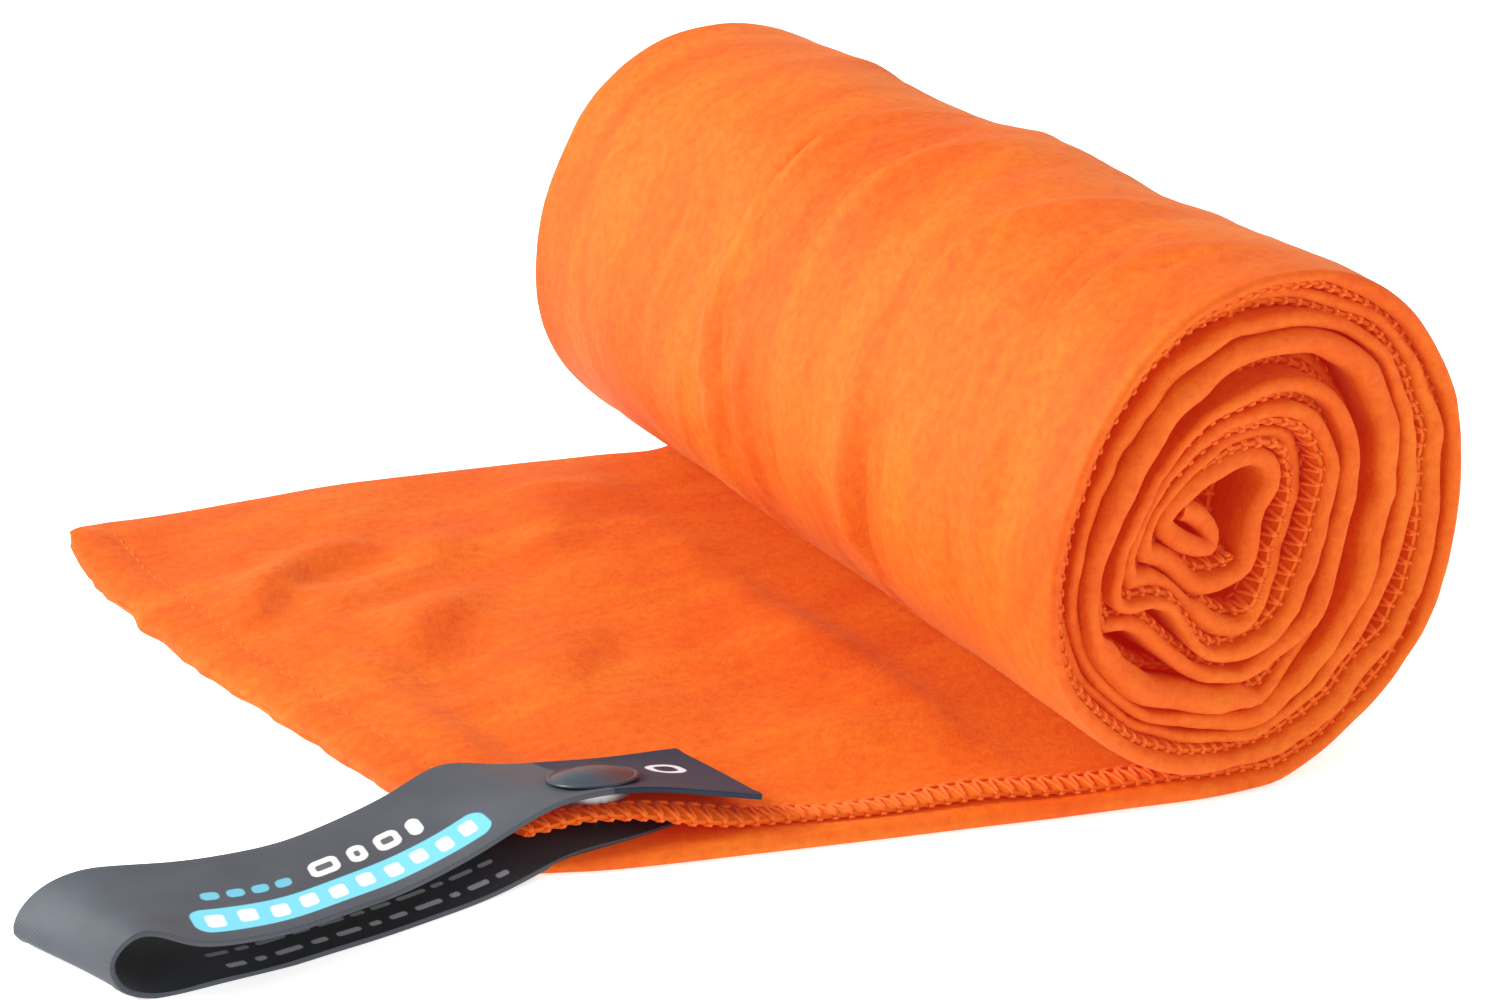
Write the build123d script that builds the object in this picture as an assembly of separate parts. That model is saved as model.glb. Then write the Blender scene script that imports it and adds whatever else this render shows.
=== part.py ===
from build123d import *
import math
import os

os.makedirs("parts", exist_ok=True)

# ---------------------------------------------------------------------------
# Quick dry towel: a 500 x 1560 mm microfibre cloth, folded in three lengthwise
# and rolled up, with its last 105 mm lying flat as a flap, and a hang loop of
# 25 mm tape sewn to the flap's near corner and closed by a press stud.
# Millimetres. +Z is up, +Y runs along the roll towards its far end, and the
# flap leaves the roll towards -X. The geometry is set out from the roll's
# contact line with the ground and is moved to the origin at the end.
# ---------------------------------------------------------------------------
CLOTH_W, CLOTH_L = 500.0, 1560.0      # flat size of the cloth
FOLDS = 3                             # layers after folding lengthwise
ROLL_L = CLOTH_W / FOLDS              # 166.7, length of the roll
Y_NEAR, Y_FAR = -ROLL_L / 2, ROLL_L / 2
FAR_SCALE = 0.97                      # the far end is wound a little tighter
RIM = 2.4                             # rounding of the folded rims
FLAP_T = 4.0                          # thickness of the three layers
HINGE_X = (-18.0, -41.0, -64.0)       # lines that the flap bends along
GAP = 0.2                             # half the gap between flap segments
HEM_W, HEM_T = 4.5, 1.1               # overlocked hem, width and height
TAPE_W, TAPE_T = 25.0, 1.0            # hang-loop tape
LOOP_AT = (-112.0, -41.5)             # where the loop leaves the cloth
LOOP_DIR = 3.5                        # direction of the loop in plan, degrees
FREE_AT = (-101.5, -42.5)             # where the free leg starts
FREE_DIR = -8.0                       # direction of the free leg in plan
FREE_TILT = 12.0                      # the corner of the cloth holds its near side up
LOOP_REACH = 64.0                     # from LOOP_AT to the end of the bend
STUD_Z = FLAP_T + 1.08                # foot of the stud, on its centre line
STACK = 2.4                           # from the stud's foot to the tape above
Z_UP = STUD_Z + STACK                 # underside of the upper tape at the corner
SNAP_S = 11.2                         # press stud, along the free leg
TAB_S, TAB_END = 21.0, 31.5           # pull tab, along the free leg
CAP_R, SOCKET_R, STUD_R, POST_R = 7.5, 6.3, 5.0, 2.0
ORIGIN = (-69.8, 4.2)               # plan centre of the whole object

parts = {}


def prism(pts, z0, z1):
    return extrude(Pos(0, 0, z0) * Polygon(*pts, align=None), amount=z1 - z0, dir=(0, 0, 1))


def lerp(line, x):
    """y on a polyline of (x, y) points in falling x."""
    for (xa, ya), (xb, yb) in zip(line, line[1:]):
        if xb <= x <= xa:
            return ya + (yb - ya) * (xa - x) / (xa - xb)
    return line[-1][1]


# --- the rolled cloth ------------------------------------------------------
# Outer outline of the roll at its near end, x and z, from the ground on the
# right, over the top, to the line where the roll meets the flap.
OUTLINE = [
    (6, 0.0), (13, 2.6), (21, 7.6), (28, 14.2), (33, 22.4), (36.2, 32),
    (37, 43), (35.2, 54.5), (31, 64.5), (24.5, 73), (15.5, 79.2), (4.5, 82.3),
    (-6.5, 82.2), (-16.5, 78.9), (-25.5, 71.8), (-32, 62.2), (-36.2, 51),
    (-37.8, 40), (-36.6, 29.5), (-32, 19.5), (-25.5, 11.8), (-17.8, 6.4),
]


def section(y, k, inset=0.0):
    """The roll's outline at y, scaled by k about its resting line and drawn in."""
    cx, cz = 0.0, 41.0 * k
    pts = []
    for x, z in OUTLINE:
        x, z = x * k, z * k
        d = math.hypot(x - cx, z - cz)
        f = 1 - inset / d
        pts.append((cx + (x - cx) * f, cz + (z - cz) * f))
    foot_z = inset if inset else -0.3      # cut off flat at the ground below
    pts[0] = (OUTLINE[0][0] * k - inset * 0.3, foot_z)
    pts[-1] = (HINGE_X[0] + GAP, OUTLINE[-1][1] * k)
    pl = Plane(origin=(0, y, 0), x_dir=(1, 0, 0), z_dir=(0, -1, 0))
    ring = Spline(*pts)
    foot = Polyline(pts[-1], (HINGE_X[0] + GAP, foot_z), pts[0])
    return pl * make_face([ring, foot])


roll = loft([section(Y_NEAR, 1.0, RIM * 0.55), section(Y_NEAR + RIM, 1.0)], ruled=True)
roll += loft([section(Y_NEAR + RIM, 1.0), section(Y_FAR - RIM, FAR_SCALE)], ruled=True)
roll += loft([section(Y_FAR - RIM, FAR_SCALE), section(Y_FAR, FAR_SCALE, RIM * 0.55)], ruled=True)
roll -= Pos(0, 0, -5) * Box(200, 2 * ROLL_L, 10)
parts["towel_roll"] = roll

# --- the flap: three layers, in plan a strip that leaves the roll askew -----
NEAR = [(-17.8, -78.6), (-35.0, -73.6), (-58.7, -67.0), (-82.0, -60.6), (-93.0, -57.4), (-104.0, -53.0)]
FAR = [(-17.8, 77.0), (-29.0, 81.5), (-43.0, 85.0), (-58.0, 88.4), (-72.0, 91.0), (-87.0, 92.2), (-117.0, 92.6), (-125.0, 91.2)]
END = [(-125.0, 71.5), (-123.0, 40.0), (-119.0, 15.0), (-115.0, -7.0), (-112.6, -20.0)]


def strip(x0, x1, inset_near=0.0, closed_end=None):
    """Plan outline of the flap between two x, x0 nearer the roll."""
    near = [(x0, lerp(NEAR, x0) + inset_near)]
    near += [(x, y + inset_near) for x, y in NEAR if x1 < x < x0]
    far = [(x, y) for x, y in FAR if x1 < x < x0]
    far = [(x0, lerp(FAR, x0))] + far
    if closed_end:
        return near + [NEAR[-1]] + list(reversed(END)) + [FAR[-1]] + list(reversed([p for p in far if p != FAR[-1]]))
    return near + [(x1, lerp(NEAR, x1) + inset_near), (x1, lerp(FAR, x1))] + list(reversed(far))


h1, h2, h3 = HINGE_X
parts["flap_inner"] = prism(strip(h1 - GAP, h2 + GAP), 0, FLAP_T)
parts["flap_middle"] = prism(strip(h2 - GAP, h3 + GAP), 0, FLAP_T)
outer = prism(strip(h3 - GAP, -200, closed_end=True), 0, FLAP_T)


# --- frames that lie along the tape -----------------------------------------
def frame_at(at, deg, z=0.0, tilt=0.0):
    """Local x along the tape, local y up from it. A tilt lifts the near side."""
    a, t = math.radians(deg), math.radians(tilt)
    near = Vector(math.sin(a), -math.cos(a), 0) * math.cos(t) + Vector(0, 0, 1) * math.sin(t)
    return Plane(origin=(at[0], at[1], z), x_dir=(math.cos(a), math.sin(a), 0), z_dir=near)


LOOP_PL = frame_at(LOOP_AT, LOOP_DIR)
FREE_PL = frame_at(FREE_AT, FREE_DIR, STUD_Z, FREE_TILT)


def tape(pl, pts, width=TAPE_W):
    """A profile along and up from the tape, drawn out across its width."""
    return extrude(pl * Polygon(*pts, align=None), amount=width / 2, both=True)


def band(line):
    """Outline of a band TAPE_T thick whose underside is the given line."""
    return line + [(s, z + TAPE_T) for s, z in reversed(line)]


def turned(*solids):
    """Solids made upright on the origin, set on the press stud's centre line."""
    at = FREE_PL.origin + FREE_PL.x_dir * SNAP_S
    pl = Plane(origin=at, x_dir=FREE_PL.x_dir, z_dir=FREE_PL.y_dir)
    return [pl * x for x in solids]


def disc(r, z0, z1):
    return extrude(Pos(0, 0, z0) * Circle(r), amount=z1 - z0)


# Sewn end, held between the layers of the flap. It lies in a slot.
SEWN_Z = 1.3
sewn = tape(LOOP_PL, [(1.5, SEWN_Z), (36, SEWN_Z), (36, SEWN_Z + TAPE_T), (1.5, SEWN_Z + TAPE_T)])
slot = tape(LOOP_PL, [(-6, SEWN_Z - 0.05), (36.4, SEWN_Z - 0.05), (36.4, SEWN_Z + TAPE_T + 0.05), (-6, SEWN_Z + TAPE_T + 0.05)], TAPE_W + 0.6)
snap_xy = FREE_PL.origin + FREE_PL.x_dir * SNAP_S
SX, SY = snap_xy.X, snap_xy.Y
post_hole = Pos(SX, SY, -1) * extrude(Circle(POST_R + 0.05), amount=FLAP_T + 2)
post_pocket = Pos(SX, SY, SEWN_Z - 0.65) * extrude(Circle(4.1), amount=0.7)
upper_hole = Pos(SX, SY, SEWN_Z) * extrude(Circle(POST_R + 0.05), amount=FLAP_T)
parts["flap_outer"] = outer - slot - upper_hole - post_pocket
parts["loop_sewn_end"] = sewn - post_hole

# Press stud, lower half: eyelet post from below, stud on top of the cloth.
post = Pos(SX, SY, SEWN_Z - 0.6) * extrude(Circle(4.0), amount=0.6)
post += Pos(SX, SY, SEWN_Z) * extrude(Circle(POST_R), amount=STUD_Z - 0.45 - SEWN_Z)
parts["snap_post"] = post
stud = disc(STUD_R, 0, 0.5) + disc(1.75, 0.5, 1.7)
stud += Pos(0, 0, 1.2) * Sphere(1.95) & Pos(0, 0, 1.2) * Box(8, 8, 1.2)
parts["snap_stud"] = turned(stud)[0]

# Stitching that holds the sewn end: one closed ring of thread on top of the
# cloth, across the tape behind the stud.
stitch_outer = tape(LOOP_PL, [(29.6, FLAP_T), (35, FLAP_T), (35, FLAP_T + 0.4), (29.6, FLAP_T + 0.4)], 19.0)
stitch_inner = tape(LOOP_PL, [(30.6, FLAP_T - 1), (34, FLAP_T - 1), (34, FLAP_T + 1), (30.6, FLAP_T + 1)], 17.0)
parts["tape_stitching"] = stitch_outer - stitch_inner

# Hang loop: lower leg on the ground, bend, upper leg back to the corner.
R_BEND = 4.25
S_BEND = -LOOP_REACH + R_BEND
parts["loop_lower_leg"] = tape(LOOP_PL, band([(S_BEND, 0), (-14, 0), (-7, 0.9), (-0.2, SEWN_Z)]))
bend = LOOP_PL * (Pos(S_BEND, R_BEND) * (Circle(R_BEND) - Circle(R_BEND - TAPE_T) - Pos(R_BEND, 0) * Rectangle(2 * R_BEND, 4 * R_BEND)))
parts["loop_bend"] = extrude(bend, amount=TAPE_W / 2, both=True)
z_top = 2 * R_BEND - TAPE_T
parts["loop_upper_leg"] = tape(LOOP_PL, band([(S_BEND, z_top), (-50, z_top - 0.4), (-34, 6.3), (-20, 6.4), (-8, Z_UP - 0.3), (-0.2, Z_UP)]))

# The short stretch of the upper leg that lies over the corner of the cloth.
ax, ay = LOOP_PL.x_dir.X, LOOP_PL.x_dir.Y
bx, by = FREE_PL.x_dir.X, FREE_PL.x_dir.Y
w = TAPE_W / 2
span = [
    (LOOP_AT[0] + 0.2 * ax + w * ay, LOOP_AT[1] + 0.2 * ay - w * ax),
    (FREE_AT[0] - 0.2 * bx + w * by, FREE_AT[1] - 0.2 * by - w * bx),
    (FREE_AT[0] - 0.2 * bx - w * by, FREE_AT[1] - 0.2 * by + w * bx),
    (LOOP_AT[0] + 0.2 * ax - w * ay, LOOP_AT[1] + 0.2 * ay + w * ax),
]
parts["loop_corner_span"] = prism(span, Z_UP, Z_UP + TAPE_T)

# Free leg with the press stud's upper half.
free = tape(FREE_PL, [(0.2, STACK), (TAB_S - 0.2, STACK), (TAB_S - 0.2, STACK + TAPE_T), (0.2, STACK + TAPE_T)])
parts["loop_free_leg"] = free - turned(disc(2.1, STACK - 1, STACK + 3))[0]
DOME_R = 19.0
cap = disc(CAP_R, STACK + TAPE_T, STACK + TAPE_T + 0.7) + disc(2.0, STACK, STACK + TAPE_T)
dome = Pos(0, 0, STACK + TAPE_T + 0.7 + 1.4 - DOME_R) * Sphere(DOME_R)
cap += dome & disc(CAP_R, STACK + TAPE_T + 0.7, STACK + TAPE_T + 5)
parts["snap_cap"] = turned(cap)[0]
socket = disc(SOCKET_R, 0.85, STACK) - disc(2.3, 0, 2.0) - disc(3.0, 1.1, 1.8)
parts["snap_socket"] = turned(socket)[0]
spring = Pos(0, 0, 1.45) * Torus(2.65, 0.3) - Pos(2.65, 0, 1.45) * Box(2, 0.9, 2)
parts["snap_spring"] = turned(spring)[0]

# Pull tab beyond the press stud.
parts["pull_tab"] = tape(FREE_PL, [(TAB_S + 0.2, STACK), (TAB_END, STACK - 0.3), (TAB_END, STACK - 0.3 + TAPE_T), (TAB_S + 0.2, STACK + TAPE_T)])


# --- overlocked hems ---------------------------------------------------------
def hem(x0, x1):
    xs = [x0] + [x for x, _ in NEAR if x1 < x < x0] + [x1]
    low = [(x, lerp(NEAR, x) + 1.0) for x in xs]
    high = [(x, lerp(NEAR, x) + 1.0 + HEM_W) for x in xs]
    return prism(low + list(reversed(high)), FLAP_T, FLAP_T + HEM_T)


HEM_GAP = 0.6                         # hems stand above the hinge lines
parts["overlock_flap_inner"] = hem(h1 - HEM_GAP, h2 + HEM_GAP)
parts["overlock_flap_middle"] = hem(h2 - HEM_GAP, h3 + HEM_GAP)
parts["overlock_flap_outer"] = hem(h3 - HEM_GAP, -98.0)
end_line = [(-124.2, 88.0)] + END + [(-106.5, -43.0)]
parts["overlock_short_end"] = prism([(x + 1.2, y) for x, y in end_line] + [(x + 1.2 + HEM_W, y) for x, y in reversed(end_line)], FLAP_T, FLAP_T + HEM_T)

# The hem seen on the roll's near end, where the outermost turn shows it.
HEM_LINE = [(-24, 70.5), (-18, 76), (-12, 78.3), (-6, 79.2), (0, 78.9), (10, 75.5), (18, 70), (24, 62), (28, 53), (29.5, 45), (28.6, 38), (26, 31), (21, 23)]


def ribbon(line, half):
    up, down = [], []
    for i, (x, z) in enumerate(line):
        xa, za = line[max(i - 1, 0)]
        xb, zb = line[min(i + 1, len(line) - 1)]
        d = math.hypot(xb - xa, zb - za)
        nx, nz = -(zb - za) / d, (xb - xa) / d
        up.append((x + nx * half, z + nz * half))
        down.append((x - nx * half, z - nz * half))
    return up + list(reversed(down))


near_pl = Plane(origin=(0, Y_NEAR, 0), x_dir=(1, 0, 0), z_dir=(0, -1, 0))
parts["overlock_roll_near"] = extrude(near_pl * Polygon(*ribbon(HEM_LINE, 0.9), align=None), amount=0.8, dir=(0, -1, 0))

box = Compound(children=[Compound([p]) if not isinstance(p, Compound) else p for p in [Part(x.wrapped) for x in parts.values()]]).bounding_box()
print("box", [round(v, 3) for v in (box.min.X, box.min.Y, box.min.Z, box.max.X, box.max.Y, box.max.Z)])
print("centre", round((box.min.X + box.max.X) / 2, 3), round((box.min.Y + box.max.Y) / 2, 3))

for name, shape in parts.items():
    export_step(Pos(-ORIGIN[0], -ORIGIN[1], 0) * shape, f"parts/{name}.step")
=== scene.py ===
import math
import bpy
import numpy as np
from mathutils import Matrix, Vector


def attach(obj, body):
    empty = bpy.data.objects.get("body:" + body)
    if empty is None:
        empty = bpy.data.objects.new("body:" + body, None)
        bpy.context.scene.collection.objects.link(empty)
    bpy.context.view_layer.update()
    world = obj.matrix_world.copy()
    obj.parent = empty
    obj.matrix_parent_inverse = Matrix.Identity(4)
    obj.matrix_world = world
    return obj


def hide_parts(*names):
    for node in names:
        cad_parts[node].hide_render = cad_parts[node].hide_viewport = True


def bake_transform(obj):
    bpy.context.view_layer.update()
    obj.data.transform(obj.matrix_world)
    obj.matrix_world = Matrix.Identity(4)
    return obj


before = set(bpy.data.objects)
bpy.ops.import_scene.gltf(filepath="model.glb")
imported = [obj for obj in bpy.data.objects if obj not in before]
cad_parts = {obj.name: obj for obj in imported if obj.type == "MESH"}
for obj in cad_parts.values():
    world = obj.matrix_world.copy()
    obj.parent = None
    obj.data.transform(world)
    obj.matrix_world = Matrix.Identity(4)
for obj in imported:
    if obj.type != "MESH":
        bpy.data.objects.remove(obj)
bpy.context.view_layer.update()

rng = np.random.default_rng(7)
OX, OY = -69.8, 4.2                       # the working frame's place in the part's frame, mm
L = 500.0 / 3.0                           # roll length, mm
YN, YF = -L / 2, L / 2
C = 0.8                                   # cloth thickness, mm
HINGES = (-18.0, -41.0, -64.0)


def P3(a):
    """Working frame in mm to the part's frame in metres."""
    a = np.asarray(a, float).copy()
    a[..., 0] -= OX
    a[..., 1] -= OY
    return a / 1000.0


# ------------------------------------------------------------------ helpers
def nspline(t, y, tq):
    """Natural cubic spline through (t, y), read at tq. y may have columns."""
    t, y, tq = np.asarray(t, float), np.asarray(y, float), np.asarray(tq, float)
    n = len(t)
    h = np.diff(t)
    A = np.zeros((n, n))
    A[0, 0] = A[-1, -1] = 1
    B = np.zeros_like(y)
    for i in range(1, n - 1):
        A[i, i - 1], A[i, i], A[i, i + 1] = h[i - 1], 2 * (h[i - 1] + h[i]), h[i]
        B[i] = 3 * ((y[i + 1] - y[i]) / h[i] - (y[i] - y[i - 1]) / h[i - 1])
    c = np.linalg.solve(A, B)
    k = np.clip(np.searchsorted(t, tq) - 1, 0, n - 2)
    hk = h[k]
    d = (c[k + 1] - c[k]) / (3 * (hk[:, None] if y.ndim > 1 else hk))
    hh = hk[:, None] if y.ndim > 1 else hk
    b = (y[k + 1] - y[k]) / hh - hh * (2 * c[k] + c[k + 1]) / 3
    u = (tq - t[k])
    u = u[:, None] if y.ndim > 1 else u
    return y[k] + b * u + c[k] * u ** 2 + d * u ** 3


def smooth(x):
    x = np.clip(x, 0, 1)
    return x * x * (3 - 2 * x)


class Noise:
    """Smooth seeded noise on a plane: sums of sines in random directions."""
    def __init__(self, seed, scale, n=14):
        r = np.random.default_rng(seed)
        a = r.uniform(0, 2 * math.pi, n)
        f = r.uniform(0.6, 1.5, n) * 2 * math.pi / scale
        self.k = np.stack([np.cos(a) * f, np.sin(a) * f], 1)
        self.p = r.uniform(0, 2 * math.pi, n)
        self.n = n

    def __call__(self, u, v):
        out = 0
        for k, p in zip(self.k, self.p):
            out = out + np.sin(k[0] * u + k[1] * v + p)
        return out / math.sqrt(self.n / 2)


def mesh_object(name, verts, faces, mat=None, smooth_shade=True, normals=None):
    me = bpy.data.meshes.new(name)
    verts = np.asarray(verts, np.float32).reshape(-1, 3)
    faces = np.asarray(faces, np.int32)
    nf, k = faces.shape
    me.vertices.add(len(verts))
    me.vertices.foreach_set("co", verts.ravel())
    me.loops.add(nf * k)
    me.loops.foreach_set("vertex_index", faces.ravel())
    me.polygons.add(nf)
    me.polygons.foreach_set("loop_start", np.arange(0, nf * k, k, dtype=np.int32))
    me.polygons.foreach_set("loop_total", np.full(nf, k, np.int32))
    me.update(calc_edges=True)
    me.validate()
    if smooth_shade:
        me.polygons.foreach_set("use_smooth", np.ones(len(me.polygons), bool))
    if normals is not None:
        me.normals_split_custom_set_from_vertices(np.asarray(normals, float).reshape(-1, 3).tolist())
    ob = bpy.data.objects.new(name, me)
    bpy.context.scene.collection.objects.link(ob)
    if mat:
        me.materials.append(mat)
    return ob


def grid_normals(G, wrap=False):
    """Unit normals of a grid of points (m, n, 3)."""
    du = np.gradient(G, axis=0)
    dv = np.gradient(G, axis=1)
    N = np.cross(du, dv)
    l = np.linalg.norm(N, axis=-1, keepdims=True)
    return N / np.maximum(l, 1e-12)


def shell(G, N, half, lo=None, hi=None):
    """Closed shell about the grid G: vertices, quads and normals. Rows lo:hi of the
    grid are kept, with normals from the whole grid, so that pieces meet unseen."""
    m0 = 0 if lo is None else lo
    m1 = len(G) if hi is None else hi
    Gs, Ns = G[m0:m1], N[m0:m1]
    h = half if np.isscalar(half) else half[m0:m1]
    if not np.isscalar(h):
        h = h[..., None]
    A, B = Gs + Ns * h, Gs - Ns * h
    m, n = A.shape[:2]
    V = np.concatenate([A.reshape(-1, 3), B.reshape(-1, 3)])
    NN = np.concatenate([Ns.reshape(-1, 3), -Ns.reshape(-1, 3)])
    idx = np.arange(m * n).reshape(m, n)
    a, b, c, d = idx[:-1, :-1].ravel(), idx[1:, :-1].ravel(), idx[1:, 1:].ravel(), idx[:-1, 1:].ravel()
    top = np.stack([a, b, c, d], 1)
    off = m * n
    bot = np.stack([a, d, c, b], 1) + off
    quads = [top, bot]
    Vx, Nx = [V], [NN]
    n0 = len(V)
    outs = ((idx[:, 0], Gs[:, 0] - Gs[:, 1], Ns[:, 0], True, True), (idx[:, -1], Gs[:, -1] - Gs[:, -2], Ns[:, -1], False, True),
            (idx[0, :], Gs[0] - Gs[1], Ns[0], False, m0 == 0), (idx[-1, :], Gs[-1] - Gs[-2], Ns[-1], True, m1 == len(G)))
    for line, o, nn, flip, free in outs:
        o = o / np.maximum(np.linalg.norm(o, axis=1, keepdims=True), 1e-9)
        k = len(line)
        ia = np.arange(k) + n0
        ib = ia + k
        Vx += [V[line], V[line + off]]
        if free:
            na, nb = nn * .55 + o, -nn * .55 + o
        else:
            na, nb = nn * 1.0, -nn * 1.0
        Nx += [na / np.linalg.norm(na, axis=1, keepdims=True), nb / np.linalg.norm(nb, axis=1, keepdims=True)]
        n0 += 2 * k
        q = np.stack([ia[:-1], ia[1:], ib[1:], ib[:-1]], 1)
        quads.append(q[:, ::-1] if flip else q)
    return np.concatenate(Vx), np.concatenate(quads), np.concatenate(Nx), n0


# ------------------------------------------------------- the roll's spiral
# Outer face of the folded strip at the roll's near end, turn by turn: x, z in mm.
T1 = [(-30, 0), (-18, 0), (-8, .1), (0, .4), (6, 1.1), (11, 2.9), (15.6, 5.4), (21.7, 9.3), (27.1, 14.3), (30.9, 18.9), (33.6, 24),
      (35.4, 30), (36.2, 35), (36.6, 40), (36.4, 46), (35.1, 54.5), (31, 64.5), (24.5, 73), (15.5, 79.4), (4.5, 82.5), (-6.5, 82.3),
      (-16.5, 79), (-25.5, 72), (-32, 62.2), (-36.4, 51), (-37.8, 40), (-36.8, 31), (-33, 22.5), (-27.5, 15.8), (-21.4, 10.6),
      (-13.9, 6.9), (-8.9, 5.5)]
T2 = [(-3.5, 5), (2.8, 4.9), (6, 5.2), (9.5, 6.3), (12.5, 7.8), (15.5, 9.8), (18.6, 12.1), (22.4, 14.9), (26.4, 18.5), (28.9, 22),
      (30.7, 26), (31.9, 30), (32.8, 35), (33.3, 40), (33.5, 45), (33.0, 50), (31.6, 55.9), (29, 61.4), (25.7, 66.4), (21.5, 70.9),
      (16.2, 74.7), (10.7, 77.6), (5.1, 79.6), (0, 80.4), (-5, 80.3), (-10, 79.2), (-15, 77), (-20, 73.4), (-25, 68.2), (-29.3, 61.4),
      (-32.5, 54), (-34.6, 46), (-35, 38), (-33.6, 31), (-30.3, 24.5), (-25.3, 18.9), (-19, 14), (-12, 10.8), (-6, 9.4)]
T3 = [(0, 9.2), (4, 9.8), (8, 11), (11.9, 13.2), (15.9, 16.4), (20, 20.4), (23.1, 25), (25.3, 30), (27, 35), (28, 40), (28.4, 45),
      (28, 51), (26.6, 57), (24, 62.8), (20.2, 67.8), (15.8, 71.6), (11, 74.4), (5, 76.2), (0, 76.7), (-5, 76.4), (-10, 75.4),
      (-15, 73.4), (-19.3, 70.6), (-22.9, 67), (-26, 62.6), (-28.8, 57.6), (-31, 52), (-32.6, 46.5), (-33.2, 40), (-32.6, 33.5),
      (-30.4, 27.5), (-26.6, 22.8), (-21.5, 18.2), (-15, 14.6), (-9, 12.2), (-3, 11)]
T4 = [(2, 10.9), (6, 12.3), (10, 15), (14, 18.6), (17.4, 22.6), (19.8, 26.5), (21.6, 30.5), (23, 35), (24.1, 40), (24.8, 45),
      (24.9, 50), (24.3, 55), (22.9, 59.6), (20.7, 63.8), (17.6, 67.3), (14.2, 70), (10, 72.1), (5, 73.4), (0, 73.7), (-5, 73.4),
      (-10, 72.1), (-15, 69.6), (-18.8, 66.6), (-22.1, 63), (-25, 58.8), (-27.6, 54), (-29.5, 49), (-30.8, 44), (-31.3, 39),
      (-30.8, 34), (-29.2, 29), (-26.2, 24.6), (-20.8, 20), (-14.6, 17), (-9, 15.3), (-3, 14.4)]
T5 = [(1, 14.7), (5, 16.4), (9, 19), (12.5, 22.6), (15.2, 26.5), (17.2, 31), (18.6, 36), (19.7, 41), (20.3, 46), (20.2, 50.5),
      (19.3, 55.5), (17.3, 60), (14.2, 64.1), (10.6, 67.2), (5.6, 69.3), (0, 69.9), (-6, 69.2), (-11, 66.9), (-15.5, 63.4), (-19.5, 59),
      (-22.8, 54.2), (-25.4, 49), (-27.4, 43.6), (-28.4, 39), (-28.9, 35.2), (-28.2, 32.6), (-25.8, 32), (-22.7, 31.4), (-20, 29.4),
      (-17.4, 26.6), (-14.3, 23.8), (-11, 21.6), (-7, 20), (-3, 19.3)]
T6 = [(0, 19.5), (4, 20.6), (8, 23), (11, 26), (13.3, 30), (15, 35), (16.2, 40), (16.9, 45), (16.9, 50), (16, 54.5), (14, 59),
      (11.4, 62.6), (8, 65.2), (4, 66.5), (-1, 66.6), (-5.4, 66), (-9.9, 64.4), (-14.3, 61.6), (-18, 58), (-21.3, 53.6), (-23.9, 48.8),
      (-25.6, 44.2), (-26.6, 40), (-26.6, 36.8), (-25, 35.2), (-22, 34.7), (-19, 34.9), (-16.7, 33.8), (-14.7, 31.2), (-12.9, 28.4),
      (-10.8, 26), (-8.2, 24), (-5, 22.8), (-1, 22.6)]
T7 = [(2.5, 23.7), (5.2, 26), (7.6, 29.5), (9.6, 33.5), (11.2, 38), (12.2, 42.5), (12.8, 47), (12.8, 51), (11.8, 55), (9.8, 58.6),
      (6.8, 61.2), (3, 62.6), (-2, 62.6), (-7, 61.8), (-11.5, 60), (-15.5, 57.2), (-18.8, 53.8), (-21.4, 49.8), (-23, 45.6), (-23.8, 41.6),
      (-23.6, 38.8), (-22.2, 37.6), (-19.4, 37.7), (-16.6, 36.6), (-13.9, 34), (-11.4, 30.8), (-9, 28.1), (-6, 26.6), (-2.5, 26.5)]
T8 = [(.5, 27.8), (3, 30.5), (4.8, 34), (6.3, 38.5), (7.6, 43), (8.5, 47.5), (8.5, 51.5), (7.4, 55), (5.2, 57.4), (1.8, 58.8),
      (-2.4, 59), (-7, 58.2), (-11.6, 56.2), (-15.6, 53.6), (-18.6, 50.4), (-20.5, 47), (-21.4, 43.8), (-20.6, 42), (-18.2, 41),
      (-15.6, 39), (-13.3, 36.2), (-10.9, 34.4), (-7.5, 34), (-3.8, 34.8), (-1.2, 36.6)]
CORE = [(.1, 39.5), (.5, 42.6), (1.5, 45.6), (2.9, 48.6), (3.4, 51.4), (2.3, 54), (-.4, 55.8), (-4.4, 56.2), (-8.6, 55.2),
        (-12.6, 53.4), (-16, 51.2), (-18.2, 48.6), (-18, 46), (-15.8, 43.9), (-12.6, 41.6), (-9.6, 39.9), (-7.1, 39.8), (-5.8, 41.6),
        (-6.6, 44.6), (-8.6, 47.4), (-11.2, 49.4), (-13.8, 50)]
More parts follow.
